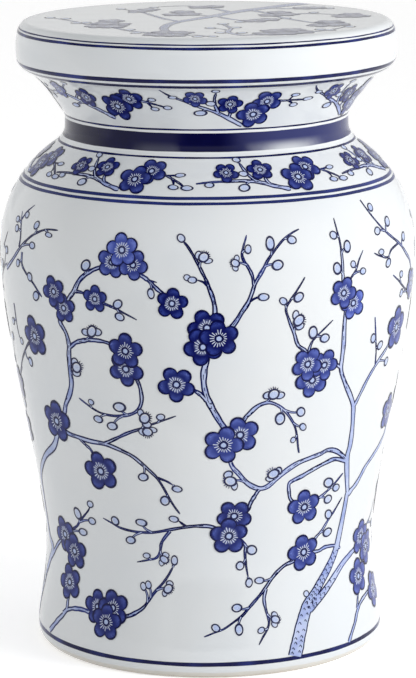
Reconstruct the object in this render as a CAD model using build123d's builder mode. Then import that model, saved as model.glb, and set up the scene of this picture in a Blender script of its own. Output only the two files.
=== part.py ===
"""Hollow glazed garden stool: eight thrown clay sections stacked on stepped luting joints.

All sizes are in millimetres. +Z is up, the foot stands on z = 0 and the axis of turning is Z.
Each section is turned from a half profile drawn as radius against height.
"""

import os

from build123d import *

os.makedirs("parts", exist_ok=True)

# Full height of the stool, and heights of its sections. The upper body takes up what the others leave.
seat_height = 455.0
base_height = 74.0
lower_height = 106.0
shoulder_height = 82.0
neck_height = 16.5
collar_height = 31.0
rim_height = 35.5

# Outside radii where the sections meet and where the form is widest or narrowest.
foot_radius = 126.8
waist_radius = 120.2
middle_radius = 136.2
belly_radius = 150.4
neck_radius = 102.3
collar_top_radius = 127.8
rim_radius = 137.0

# How far the foot tucks in under its widest ring, and how far the rim's top edge is rounded in.
foot_tuck = 5.3
edge_round = 8.5

# Height of the foot's widest ring above the floor, and of the rim's widest ring above the rim's base.
foot_swell_height = 9.0
rim_swell_height = 17.0

# Lengths along which a curve holds its direction as it leaves a joint.
foot_pull = 7.0
flare_low_pull = 20.5
flare_high_pull = 30.5
lower_low_pull = 22.5
lower_high_pull = 39.0
upper_low_pull = 32.5
upper_high_pull = 33.5
shoulder_low_pull = 38.0
shoulder_high_pull = 31.0
collar_low_pull = 10.0
collar_high_pull = 5.0
lip_low_pull = 4.4
lip_high_pull = 11.0
edge_low_pull = 10.0
edge_high_pull = 6.0

# Slopes at the joints: radius gained for each millimetre of height, or height lost for each of radius.
middle_flare = 0.186
shoulder_fall = 0.625
collar_low_flare = 0.64
collar_high_flare = 1.85

# Wall thicknesses.
wall = 8.0
foot_land = 12.0
collar_top_wall = 14.0

# Stepped luting joint: height of the upstanding inner half, and the room left in it for slip.
lap_height = 6.0
lap_clearance = 0.2

# Seat plate: the plate, the boss below it, and the ledge of the rim that carries them.
plate_radius = 112.0
plate_thickness = 6.0
boss_thickness = 6.0
ledge_width = 8.0
ledge_thickness = 8.0

# Heights of the joints and of the seat above the floor.
waist_z = base_height
middle_z = waist_z + lower_height
seat_z = seat_height
rim_z = seat_z - rim_height
collar_z = rim_z - collar_height
neck_z = collar_z - neck_height
belly_z = neck_z - shoulder_height

lap_top = lap_height + lap_clearance
half_wall = wall / 2

# How far each curve leans over the length that it holds its direction.
lower_lean = middle_flare * lower_high_pull
upper_lean = middle_flare * upper_low_pull
shoulder_drop = shoulder_fall * shoulder_high_pull
collar_low_lean = collar_low_flare * collar_low_pull
collar_high_lean = collar_high_flare * collar_high_pull
lip_lean = collar_high_flare * lip_low_pull

# Radii of the standing face and of the flat part of the seat.
foot_base_radius = foot_radius - foot_tuck
seat_flat_radius = rim_radius - edge_round

# Radii and heights inside the seat.
boss_radius = plate_radius - ledge_width
collar_lap_radius = collar_top_radius - collar_top_wall / 2
collar_inner_radius = collar_top_radius - collar_top_wall
rim_swell_z = rim_z + rim_swell_height
ledge_z = seat_z - plate_thickness

# Base ring: unglazed standing face, swelling foot and flare up to the waist.
with BuildPart() as base_ring:
    with BuildSketch(Plane.XZ):
        with BuildLine():
            Bezier(
                (foot_base_radius, 0),
                (foot_radius, foot_swell_height - foot_pull),
                (foot_radius, foot_swell_height),
            )
            Bezier(
                (foot_radius, foot_swell_height),
                (foot_radius, foot_swell_height + flare_low_pull),
                (waist_radius, waist_z - flare_high_pull),
                (waist_radius, waist_z),
            )
            Polyline(
                (waist_radius, waist_z),
                (waist_radius - half_wall - lap_clearance, waist_z),
                (waist_radius - half_wall - lap_clearance, waist_z + lap_height),
                (waist_radius - wall, waist_z + lap_height),
                (waist_radius - wall, waist_z),
                (foot_base_radius - foot_land, 0),
                (foot_base_radius, 0),
            )
        make_face()
    revolve(axis=Axis.Z)
base_ring.part.label = "base_ring"

# Lower body: from the waist up to the middle joint.
with BuildPart() as body_lower:
    with BuildSketch(Plane.XZ):
        with BuildLine():
            Bezier(
                (waist_radius, waist_z),
                (waist_radius, waist_z + lower_low_pull),
                (middle_radius - lower_lean, middle_z - lower_high_pull),
                (middle_radius, middle_z),
            )
            Polyline(
                (middle_radius, middle_z),
                (middle_radius - half_wall - lap_clearance, middle_z),
                (middle_radius - half_wall - lap_clearance, middle_z + lap_height),
                (middle_radius - wall, middle_z + lap_height),
                (middle_radius - wall, middle_z),
            )
            Bezier(
                (middle_radius - wall, middle_z),
                (middle_radius - wall - lower_lean, middle_z - lower_high_pull),
                (waist_radius - wall, waist_z + lap_top + lower_low_pull),
                (waist_radius - wall, waist_z + lap_top),
            )
            Polyline(
                (waist_radius - wall, waist_z + lap_top),
                (waist_radius - half_wall, waist_z + lap_top),
                (waist_radius - half_wall, waist_z),
                (waist_radius, waist_z),
            )
        make_face()
    revolve(axis=Axis.Z)
body_lower.part.label = "body_lower"

# Upper body: from the middle joint up to the belly, the widest ring of the stool.
with BuildPart() as body_upper:
    with BuildSketch(Plane.XZ):
        with BuildLine():
            Bezier(
                (middle_radius, middle_z),
                (middle_radius + upper_lean, middle_z + upper_low_pull),
                (belly_radius, belly_z - upper_high_pull),
                (belly_radius, belly_z),
            )
            Polyline(
                (belly_radius, belly_z),
                (belly_radius - half_wall - lap_clearance, belly_z),
                (belly_radius - half_wall - lap_clearance, belly_z + lap_height),
                (belly_radius - wall, belly_z + lap_height),
                (belly_radius - wall, belly_z),
            )
            Bezier(
                (belly_radius - wall, belly_z),
                (belly_radius - wall, belly_z - upper_high_pull),
                (middle_radius - wall + upper_lean, middle_z + lap_top + upper_low_pull),
                (middle_radius - wall, middle_z + lap_top),
            )
            Polyline(
                (middle_radius - wall, middle_z + lap_top),
                (middle_radius - half_wall, middle_z + lap_top),
                (middle_radius - half_wall, middle_z),
                (middle_radius, middle_z),
            )
        make_face()
    revolve(axis=Axis.Z)
body_upper.part.label = "body_upper"

# Shoulder: rounds in from the belly to the flat land that carries the neck.
with BuildPart() as shoulder_ring:
    with BuildSketch(Plane.XZ):
        with BuildLine():
            Bezier(
                (belly_radius, belly_z),
                (belly_radius, belly_z + shoulder_low_pull),
                (neck_radius + shoulder_high_pull, neck_z - shoulder_drop),
                (neck_radius, neck_z),
            )
            Polyline(
                (neck_radius, neck_z),
                (neck_radius - half_wall - lap_clearance, neck_z),
                (neck_radius - half_wall - lap_clearance, neck_z + lap_height),
                (neck_radius - wall, neck_z + lap_height),
                (neck_radius - wall, neck_z - wall),
            )
            Bezier(
                (neck_radius - wall, neck_z - wall),
                (neck_radius - wall + shoulder_high_pull, neck_z - wall - shoulder_drop),
                (belly_radius - wall, belly_z + shoulder_low_pull),
                (belly_radius - wall, belly_z + lap_top),
            )
            Polyline(
                (belly_radius - wall, belly_z + lap_top),
                (belly_radius - half_wall, belly_z + lap_top),
                (belly_radius - half_wall, belly_z),
                (belly_radius, belly_z),
            )
        make_face()
    revolve(axis=Axis.Z)
shoulder_ring.part.label = "shoulder_ring"

# Neck: the short straight ring under the seat's collar.
with BuildPart() as neck_ring:
    with BuildSketch(Plane.XZ):
        with BuildLine():
            Polyline(
                (neck_radius, neck_z),
                (neck_radius, collar_z),
                (neck_radius - half_wall - lap_clearance, collar_z),
                (neck_radius - half_wall - lap_clearance, collar_z + lap_height),
                (neck_radius - wall, collar_z + lap_height),
                (neck_radius - wall, neck_z + lap_top),
                (neck_radius - half_wall, neck_z + lap_top),
                (neck_radius - half_wall, neck_z),
                (neck_radius, neck_z),
            )
        make_face()
    revolve(axis=Axis.Z)
neck_ring.part.label = "neck_ring"

# Collar: hollow flare from the neck out to the underside of the rim.
with BuildPart() as seat_collar:
    with BuildSketch(Plane.XZ):
        with BuildLine():
            Bezier(
                (neck_radius, collar_z),
                (neck_radius + collar_low_lean, collar_z + collar_low_pull),
                (collar_top_radius - collar_high_lean, rim_z - collar_high_pull),
                (collar_top_radius, rim_z),
            )
            Polyline(
                (collar_top_radius, rim_z),
                (collar_lap_radius - lap_clearance, rim_z),
                (collar_lap_radius - lap_clearance, rim_z + lap_height),
                (collar_inner_radius, rim_z + lap_height),
                (collar_inner_radius, rim_z),
            )
            Bezier(
                (collar_inner_radius, rim_z),
                (collar_inner_radius - collar_high_lean, rim_z - collar_high_pull),
                (neck_radius - wall, collar_z + lap_top + collar_low_pull),
                (neck_radius - wall, collar_z + lap_top),
            )
            Polyline(
                (neck_radius - wall, collar_z + lap_top),
                (neck_radius - half_wall, collar_z + lap_top),
                (neck_radius - half_wall, collar_z),
                (neck_radius, collar_z),
            )
        make_face()
    revolve(axis=Axis.Z)
seat_collar.part.label = "seat_collar"

# Rim: drum-shaped band with rounded edges and an inner ledge for the seat plate.
with BuildPart() as seat_rim:
    with BuildSketch(Plane.XZ):
        with BuildLine():
            Bezier(
                (collar_top_radius, rim_z),
                (collar_top_radius + lip_lean, rim_z + lip_low_pull),
                (rim_radius, rim_swell_z - lip_high_pull),
                (rim_radius, rim_swell_z),
            )
            Bezier(
                (rim_radius, rim_swell_z),
                (rim_radius, rim_swell_z + edge_low_pull),
                (seat_flat_radius + edge_high_pull, seat_z),
                (seat_flat_radius, seat_z),
            )
            Polyline(
                (seat_flat_radius, seat_z),
                (plate_radius + lap_clearance, seat_z),
                (plate_radius + lap_clearance, ledge_z),
                (boss_radius + lap_clearance, ledge_z),
                (boss_radius + lap_clearance, ledge_z - ledge_thickness),
                (collar_lap_radius, ledge_z - ledge_thickness),
                (collar_lap_radius, rim_z),
                (collar_top_radius, rim_z),
            )
        make_face()
    revolve(axis=Axis.Z)
seat_rim.part.label = "seat_rim"

# Seat plate: flat disc let into the rim, with a boss that centres it on the ledge.
with BuildPart() as seat_plate:
    with BuildSketch(Plane.XZ):
        with BuildLine():
            Polyline(
                (0, seat_z),
                (plate_radius, seat_z),
                (plate_radius, ledge_z),
                (boss_radius, ledge_z),
                (boss_radius, ledge_z - boss_thickness),
                (0, ledge_z - boss_thickness),
                (0, seat_z),
            )
        make_face()
    revolve(axis=Axis.Z)
seat_plate.part.label = "seat_plate"

export_step(base_ring.part, "parts/base_ring.step")
export_step(body_lower.part, "parts/body_lower.step")
export_step(body_upper.part, "parts/body_upper.step")
export_step(shoulder_ring.part, "parts/shoulder_ring.step")
export_step(neck_ring.part, "parts/neck_ring.step")
export_step(seat_collar.part, "parts/seat_collar.step")
export_step(seat_rim.part, "parts/seat_rim.step")
export_step(seat_plate.part, "parts/seat_plate.step")
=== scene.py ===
"""Looks of a hollow blue-and-white garden stool: glazed sections, painted rings, plum sprays, studio stage.

Every piece is a surface worked out from one turned outline. Turn is the angle about the stool's axis,
from the front towards the right. Run is the length along the outline from the floor. Sizes are in metres.
"""

import math

import bpy
import numpy as np
from mathutils import Matrix


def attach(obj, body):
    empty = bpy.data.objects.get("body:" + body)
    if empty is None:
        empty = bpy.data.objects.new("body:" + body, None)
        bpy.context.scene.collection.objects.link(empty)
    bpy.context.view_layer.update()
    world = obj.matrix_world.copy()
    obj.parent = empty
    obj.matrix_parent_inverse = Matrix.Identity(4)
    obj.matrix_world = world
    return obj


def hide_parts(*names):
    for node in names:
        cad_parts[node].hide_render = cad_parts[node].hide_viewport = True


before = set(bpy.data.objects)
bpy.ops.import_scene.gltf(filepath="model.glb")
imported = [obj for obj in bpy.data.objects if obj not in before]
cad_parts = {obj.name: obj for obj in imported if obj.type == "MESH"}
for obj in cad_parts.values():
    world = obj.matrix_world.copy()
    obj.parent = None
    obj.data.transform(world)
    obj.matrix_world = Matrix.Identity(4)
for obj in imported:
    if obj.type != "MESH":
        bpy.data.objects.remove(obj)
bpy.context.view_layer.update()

bl_info = {
    "name": "Painted Garden Stool",
    "version": (1, 0, 0),
    "blender": (4, 5, 0),
    "location": "3D View > Sidebar > Garden Stool",
    "description": "Builds a glazed garden stool with blue plum sprays, and a studio stage for it",
    "category": "Add Mesh",
}

MM = 0.001
FULL_TURN = 2 * math.pi

# Handles of the outline's curves, from the end that each belongs to: outwards and upwards, in millimetres.
PULLS = {
    "foot": (0, -7.0),
    "flare_low": (0, 20.5),
    "flare_high": (0, -30.5),
    "lower_low": (0, 22.5),
    "lower_high": (-7.25, -39.0),
    "upper_low": (6.05, 32.5),
    "upper_high": (0, -33.5),
    "shoulder_low": (0, 38.0),
    "shoulder_high": (31.0, -19.4),
    "collar_low": (6.4, 10.0),
    "collar_high": (-9.25, -5.0),
    "lip_low": (8.14, 4.4),
    "lip_high": (0, -11.0),
    "edge_low": (0, 10.0),
    "edge_high": (6.0, 0),
}

# Step at which the outline is kept, and how far below the seat its outside wall ends. The neck's own rounding
# reaches these many times its length before the neck's foot and past it.
OUTLINE_STEP = 0.25 * MM
WALL_END_GAP = 0.02 * MM
REACH_BEFORE_NECK, REACH_PAST_NECK = 2.5, 0.75

# Faces round a turned piece and round a painted ring.
TURNED_FACES = 288
RING_FACES = 480

# The photo's size, a pixel of a view straight down on the seat, and the depths where rays look for the wall.
PHOTO_WIDTH, PHOTO_HEIGHT = 416, 678
SEAT_PIXEL = 0.69 * MM
NEAREST, FARTHEST, DEPTH_STEPS = 2.12, 2.62, 1001

# Round marks share a square of 4 by 4 painted tiles, each with a disc; its radius is this share of the tile.
TILES = 4
DISC = 0.47

# A blossom's petals: how many, and as shares of its radius a petal's place and its own radius.
PETALS = 5
PETAL_OUT, PETAL_SIZE = 0.62, 0.41
STAMENS = 18

# How far each mark lies above the first coat, so that later ones cover earlier ones.
STEM_LIFT = 0.02 * MM
WASH_LIFT = 0.05 * MM
STEM_WASH_LIFT = 0.06 * MM
BARK_LIFT = 0.10 * MM
BUD_LIFT = 0.16 * MM
BLOSSOM_LIFT = 0.26 * MM
LASH_LIFT = 0.30 * MM
LAYER_LIFT = 0.05 * MM
HAIR_LIFT, HAIR_LIFTS = 0.003 * MM, 12

# The seat is seen at a low angle, so its paint is laid thinner. Its wash is darker: painted shade, standing
# in for how the sheen on the seat's upward face greys its painting.
SEAT_THICK = 0.4
SEAT_SHADED_WASH = 0.7

# Branches, in photo pixels: what the outline adds to the width at each end, the width of a trunk, and the
# half widths from which there are bark scales or dashes.
OUTLINE_START, OUTLINE_END = 1.0, 0.6
TRUNK_WIDTH, BARK_FROM, DASH_FROM = 8, 3.9, 2.1

# Dashes along a branch, in photo pixels. Where the wall slants more than this, none are painted.
DASH_SPACING, DASH_SHORTEST, DASH_LONGER = 6.5, 1.5, 3.5
DASH_CHANCE = 0.75
HIDING_SLANT = 1.6

# Stems of buds, in photo pixels: the shortest, and half the width at each end.
SHORTEST_STEM, STEM_FOOT, STEM_TIP = 1.5, 1.5, 1.05

# Buds: where the wall slants they are widened, up to this. The shares fit an oval into a bud's width and
# height, with a little over for its outline. No oval is rounder than the least stretch.
MOST_WIDENED, LEAST_STRETCH = 2.2, 1.2
OVAL_HALF, OVAL_LEVEL = 0.54, 0.29

# What its outline adds to a blossom's radius.
BLOSSOM_OUTLINE = 1.05

# Index of refraction of the clear glaze: lower over paint, which mirrors less.
WHITE_GLOSS, PAINT_GLOSS, BAND_GLOSS = 1.5, 1.25, 1.34

# Places in the painting are photo pixels.
# Branches on the body have heavier outlines where they lie left of this column: partly a heavier hand,
# partly painted shade, as the front's left lies away from the lamps and its right is washed by their sheen.
INK_AND_SHADE_LEFT_OF = 262

# Plum branches on the front of the body: width at each end, then the points along it.
BODY_BRANCHES = {
    "left_edge_spray": (3.6, 1.0, [
        (7, 268), (13, 259), (20, 248), (27, 240), (33, 235), (41, 231), (48, 229.5), (58, 230.3),
    ]),
    "left_edge_upright": (2.4, 1.0, [(19, 247), (20.5, 238), (21, 228), (21.5, 220), (22.5, 211)]),
    "left_edge_tip": (1.8, 0.9, [(22, 219), (26, 213), (29, 210), (35, 205)]),
    "left_edge_drop": (3.0, 1.6, [(22, 252), (22, 264), (26, 273), (33, 283), (38, 291), (42, 297)]),
    "far_left_twig": (1.8, 1.0, [(4, 245), (6, 238), (8, 231)]),
    "far_left_stem": (2.2, 1.2, [(14, 303), (16, 318), (18, 330), (20, 338)]),
    "upper_left_link": (5.0, 4.0, [
        (66, 303), (69, 298), (74, 291), (79, 281), (86, 274), (93, 270), (102, 266.5), (112, 262),
    ]),
    "upper_left_side": (3.2, 2.2, [(74, 291), (80, 292), (83, 293), (92, 297)]),
    "upper_left_tip": (3.4, 1.0, [(98, 301), (105, 304), (112, 307), (120, 311), (137, 320)]),
    "upper_left_right": (4.4, 3.4, [
        (133, 268), (138, 273), (145, 278), (150, 282), (157, 289), (163, 294), (172, 303),
    ]),
    "upper_left_thorn": (2.2, 0.8, [(149, 281), (153, 281.5), (157, 282.5)]),
    "middle_up": (4.6, 1.8, [
        (213, 325), (215, 311), (213, 299), (209, 288), (206, 280), (202, 272), (198, 264), (193, 255),
        (188, 247), (184, 242),
    ]),
    "middle_up_side": (2.2, 1.2, [(207, 285), (203, 282), (197, 280)]),
    "centre_up": (5.4, 1.2, [
        (224, 336), (235, 323), (242, 312), (248, 303), (252, 293), (255, 284), (260, 275), (264, 268),
        (268, 260), (275, 250), (283, 240), (291, 233.5), (299, 229),
    ]),
    "centre_up_side": (3.4, 1.0, [
        (254, 285), (252, 275), (248, 267), (244, 261), (242, 255), (243, 248), (245, 241), (246.5, 235),
    ]),
    "centre_up_bud": (2.0, 1.2, [(249, 302), (256, 298), (262, 297)]),
    "right_cluster_up": (4.2, 1.0, [
        (307, 360), (305, 351), (298, 345), (294, 333), (289, 320), (286, 309), (290, 301), (296, 292),
        (301, 284), (305, 277),
    ]),
    "right_cluster_side": (3.2, 0.9, [
        (308, 358), (309, 350), (312, 342), (316, 337), (322, 331), (333, 320),
    ]),
    "right_pair_up": (3.8, 1.0, [(343, 290), (343, 275), (342, 258), (340, 243), (337, 231), (333.5, 218)]),
    "right_pair_side": (2.6, 1.0, [(346, 288), (351, 278), (356, 270), (359, 260), (363, 250)]),
    "top_right_spray": (1.0, 3.4, [
        (360, 200), (368, 211), (376, 221), (384, 230), (392, 237), (400, 244), (406, 253), (410, 262),
        (411, 280),
    ]),
    "top_right_side": (2.2, 1.0, [(398, 243), (391, 250), (388, 257), (380, 256), (374, 253)]),
    "top_right_low": (2.4, 1.2, [(409, 290), (406, 290), (399, 281), (393, 275)]),
    "right_edge_twig": (1.2, 2.2, [(375, 317), (375.5, 330), (376, 345), (376, 352), (375, 366)]),
    "left_stem": (5.2, 6.0, [
        (62, 310), (60, 321), (66, 333), (69, 345), (69, 355), (70, 370), (71.5, 383), (70, 393), (66, 404),
        (64, 414), (58, 422),
    ]),
    "left_stem_side": (4.4, 3.8, [(69, 348), (76, 342.5), (84, 340.5), (92, 340), (105, 342), (120, 348)]),
    "left_low_twig": (2.8, 1.2, [(31, 340), (27, 346), (23, 357), (21, 368)]),
    "left_hook": (4.2, 1.4, [
        (130, 368), (138, 382), (141, 392), (141.5, 402), (138, 410), (130, 414.5), (118, 416),
        (106, 414.5), (97, 411), (88, 405), (79, 398),
    ]),
    "low_left_main": (5.6, 1.4, [
        (58, 424), (68, 433), (78, 437), (90, 441), (105, 444), (118, 449), (132, 456), (142, 464),
        (150, 471), (157, 478), (163, 487), (168, 496), (174, 506), (180, 514),
    ]),
    "low_left_upper": (3.6, 1.0, [
        (105, 443.5), (115, 439), (128, 433), (140, 429), (150, 425), (162, 421), (176, 416),
    ]),
    "low_left_drop": (3.0, 2.6, [(79, 438), (86, 445), (91, 450), (99, 464)]),
    "low_left_spur": (2.2, 1.2, [(158, 478), (166, 481), (173, 485)]),
    "left_trunk": (6.2, 7.4, [
        (58, 424), (57, 436), (54, 446), (46, 455), (42, 466), (41.5, 478), (44, 495), (47, 515), (50, 535),
        (53, 548), (50, 560), (46, 574),
    ]),
    "left_trunk_arm": (4.6, 3.8, [(52, 556), (58, 544), (62, 539), (66, 534)]),
    "middle_stem": (6.6, 5.8, [
        (208, 345), (206, 361), (204, 372), (204, 385), (207, 397), (212, 408), (219, 420), (226, 431),
        (228, 440),
    ]),
    "middle_stem_side": (4.4, 3.4, [(207, 401), (200, 394), (193, 390), (180, 385)]),
    "centre_arch": (4.6, 1.2, [
        (238, 436), (244, 420), (250, 413), (258, 406), (268, 402.5), (277, 405), (285, 411), (291, 419),
        (295, 427), (297, 437), (298, 447), (299, 453),
    ]),
    "centre_low": (4.6, 5.0, [
        (226, 450), (232, 466), (238, 473), (246, 482), (254, 487), (261, 488.5), (268, 486), (276, 479),
        (287, 470), (298, 463), (310, 458), (320, 454), (328, 450), (336, 451), (343, 456), (347, 461),
    ]),
    "centre_low_drop": (4.0, 3.4, [(260, 488), (256, 494), (251, 502), (247, 511), (238, 518)]),
    "right_stem": (4.6, 7.0, [
        (347, 300), (344.5, 324), (343.5, 345), (342, 358), (341, 370), (345, 383), (350, 395), (353, 405),
        (353, 415), (352, 430), (350, 445), (347, 458), (347, 480), (347.5, 492),
    ]),
    "right_stem_link": (3.2, 3.8, [(325, 364), (335, 364), (342, 369)]),
    "right_stem_low": (4.4, 3.4, [
        (346, 461), (335, 459), (325, 463), (312, 470), (302, 476), (293, 480.5), (289, 484), (289, 492),
        (291, 500), (300, 506),
    ]),
    "right_branch": (4.6, 3.4, [
        (352, 408), (355, 404), (361, 392), (368, 378), (375, 366), (380, 358), (387, 347), (394, 332),
    ]),
    "right_low_branch": (6.0, 4.8, [
        (348, 494), (351, 490), (357, 482), (365, 467), (373, 455), (380, 443), (385, 430), (387, 414),
    ]),
    "trunk": (15.5, 13.0, [(295, 656), (297.5, 645), (299.5, 635), (303.5, 618), (307.5, 606), (313, 597)]),
    "trunk_left_arm": (11.0, 6.6, [
        (308, 604), (314, 594), (320, 583), (328.5, 567), (335.5, 550), (340, 530), (344, 510),
        (347.5, 490),
    ]),
    "trunk_right_arm": (10.0, 5.0, [
        (309, 609), (315, 602), (323, 593), (332, 580), (342, 564), (350, 554), (356, 547),
    ]),
    "trunk_stem": (3.2, 3.8, [(308, 552), (318, 551), (325, 547), (335, 545.5), (340, 548)]),
    "right_twig_high": (3.2, 1.8, [(308, 506), (320, 497), (327, 491), (334, 484), (343, 473)]),
    "right_twig_low": (3.2, 1.8, [(309, 546), (316, 537), (322, 530), (328, 520), (334, 511), (342, 497)]),
    "low_centre_branch": (4.4, 1.0, [
        (302, 554), (293, 561), (285, 565), (278, 571), (272, 578), (266, 587), (260, 595), (254, 602),
        (248, 609), (242, 616), (234, 622), (224, 629), (214, 633), (204, 637),
    ]),
    "low_centre_drop": (3.2, 1.0, [
        (266, 589), (264, 598), (265, 606), (267, 614), (269, 622), (267, 630), (263, 637), (259, 645),
    ]),
    "low_middle_branch": (4.0, 1.2, [
        (226, 534), (212, 527), (200, 526), (190, 526.5), (180, 528), (168, 530), (152, 532.5),
        (135, 531.5), (121, 528), (112, 523), (103, 518),
    ]),
    "low_middle_bud_stem": (2.0, 1.4, [(187, 526.8), (182, 523.5), (178.5, 520.5)]),
    "low_middle_drop": (3.0, 1.0, [(170, 531), (162, 542), (160, 552), (156, 558), (148, 560), (137, 562)]),
    "low_middle_down": (3.4, 1.4, [(238, 538), (245, 545), (245, 555), (246, 565), (248, 577)]),
    "left_low_twig_up": (2.8, 1.2, [
        (66, 533), (70, 531), (77, 526), (80, 521), (84, 516), (88, 511), (90, 507),
    ]),
    "left_foot_stem": (5.4, 4.2, [(50, 630), (58, 620), (66, 611), (68, 600), (70, 586)]),
    "left_foot_side": (4.6, 3.8, [(63, 613), (68, 609.5), (75, 608.5), (84, 610), (92, 613), (104, 616)]),
    "left_foot_right": (4.2, 1.4, [
        (112, 618), (128, 616), (137, 612), (144, 607), (149, 600), (155, 592), (163, 583), (168, 576),
        (173, 567),
    ]),
    "right_foot_stem": (4.6, 3.2, [
        (349, 642), (352, 632), (355, 622), (357, 612), (360, 603), (365, 595), (369, 590), (375, 588),
    ]),
    "right_foot_side": (3.2, 2.6, [(357, 608), (357.5, 600), (358, 588), (358, 578)]),
    "right_foot_twig": (2.6, 1.0, [(362, 535), (366, 525), (370, 515), (374, 498)]),
}

# Single buds on the body: place, width and height, then for one of them its layer, and that it has no stem.
BODY_BUDS = [
    (37, 225, 5, 9), (49, 235, 7, 5), (32.5, 245.5, 6, 7), (18, 263, 4, 8), (27.5, 215, 4, 7),
    (18, 219, 4, 7), (17, 228, 4, 8), (30, 277, 5, 9), (36, 296, 6, 10), (7, 250, 4, 8), (13.5, 321, 4, 8),
    (22, 341, 4, 7), (86, 265, 9, 12), (118, 304, 9, 10), (120, 317, 9, 9), (151, 294, 7, 11),
    (181, 238, 8, 9), (192, 280, 9, 7), (248, 249, 7, 9), (270, 243, 9, 14), (278, 265, 12, 10),
    (292, 240, 9, 9), (264, 297, 11, 8), (283, 301, 8, 8), (299, 297, 10, 10), (313, 332, 9, 13),
    (325, 338, 10, 9), (337, 268, 8, 12), (347, 246, 7, 12), (333, 235, 7, 9), (353, 264, 5, 8),
    (363, 271, 6, 7), (370, 207, 5, 9), (387, 221, 5, 10), (377, 231, 6, 8), (403, 236, 4, 10),
    (381, 252, 6, 6), (388, 263, 5, 9), (401, 274, 4, 8), (401, 293, 4, 8), (373, 338, 5, 10),
    (31, 362, 4, 10), (119, 407, 13, 10), (98, 419, 9, 8), (112, 426, 10, 9), (91, 402, 6, 6),
    (161, 417, 9, 7), (143, 477, 10, 9), (177.5, 489, 11, 7), (165, 501, 9, 11), (280, 419, 10, 13),
    (301, 412, 9, 10), (303, 427, 7, 8), (293, 440, 5, 7), (380, 345, 5, 9), (386, 361, 4, 9),
    (328, 482.5, 9, 11), (336, 487.5, 7, 8), (328, 499, 8, 9), (328, 514, 7, 10), (327.5, 532, 9, 9),
    (259, 580.5, 10, 7), (236.5, 608, 11, 8), (215.5, 628, 9, 8), (239, 630, 8, 12), (261, 630.5, 7, 7),
    (173.5, 519, 10, 7), (141, 522.5, 11, 8), (130.5, 540, 10, 8), (115, 520.5, 8, 9), (146.5, 555.5, 8, 6),
    (252, 550, 11, 10), (240, 566, 8, 10), (249, 583, 7, 10), (77.5, 513, 7, 12), (92.5, 521, 7, 8),
    (83.5, 532, 8, 8), (174.5, 560, 7, 10), (143.5, 586, 6, 9), (371, 522, 4, 8), (90.5, 504, 6, 8),
    (148.5, 584.5, 6, 9), (187, 277.5, 7, 7), (306, 593.5, 5.5, 7, 0, False),
]

# Opening buds on the body: place, width, height and the side its stamens show on, in degrees.
BODY_OPENING_BUDS = [
    (204, 257, 11, 11, 60), (235, 263, 9, 9, 170), (299, 320, 11, 13, 20), (92, 331, 10, 13, 90),
    (77, 367, 9, 13, 10), (145, 418, 12, 12, 30), (148, 432, 11, 10, -80), (274, 394, 12, 12, 90),
    (230, 481, 13, 12, 210), (273, 474, 12, 11, 130), (275.5, 619.5, 9, 9, 0), (164.5, 559.5, 9, 9, -30),
    (168.5, 588.5, 10, 10, -30),
]

# Plum blossoms on the body: place, radius, how many blossoms lie under it, how thin its paint is from 0 to 3,
# and the turn of a petal in degrees. Thinner, brighter paint towards the right of the front is partly painted
# highlight, where the lamps' sheen falls, and the thinnest, on the blossom at (122, 250), is a painted
# reflection.
BODY_BLOSSOMS = [
    (112, 262, 16, 0, 2, 12), (133, 265, 15, 1, 2, 60), (122, 250, 17, 2, 3, 27), (64, 308, 15, 0, 1, 20),
    (54, 291.5, 15.5, 1, 1, 40), (95, 299, 13.5, 0, 1, 15), (172, 303.5, 15.5, 0, 0, 8),
    (35, 336, 20, 0, 1, 30), (126, 369, 18, 0, 1, 59), (125.5, 351, 18, 1, 1, 15),
    (176.5, 384.5, 18, 0, 1, 48), (207, 328, 19, 0, 0, 43), (203, 347, 19, 1, 0, 46),
    (219, 338.5, 19, 2, 0, 28), (353, 303, 16, 0, 3, 35), (343.5, 293, 16, 1, 2, 64),
    (312, 380, 18, 0, 2, 40), (324, 365, 16, 1, 2, 66), (307.5, 364, 17, 2, 2, 57),
    (396, 327, 21, 0, 2, 20), (410, 283, 16, 0, 2, 50), (57, 421, 21, 0, 1, 10), (101, 471, 20, 0, 1, 30),
    (65.5, 534, 18, 0, 1, 40), (75, 551, 18, 1, 1, 20), (70, 582, 18, 0, 1, 36), (98, 607, 17, 0, 1, 27),
    (113, 608, 18, 1, 1, 34), (106.5, 622, 18, 2, 1, 17), (240, 435, 19, 0, 2, 30),
    (223.5, 445, 19.5, 1, 2, 0), (234, 516, 17, 0, 1, 50), (229, 536, 18.5, 1, 1, 20),
    (304, 507, 18, 0, 2, 26), (303.5, 552, 18, 0, 2, 32), (360, 536, 17, 0, 2, 20),
    (365, 546, 17, 1, 2, 60), (358, 576, 18, 0, 2, 25), (387, 411, 18, 0, 2, 10),
    (372.5, 588, 18, 0, 2, 40),
]

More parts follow.
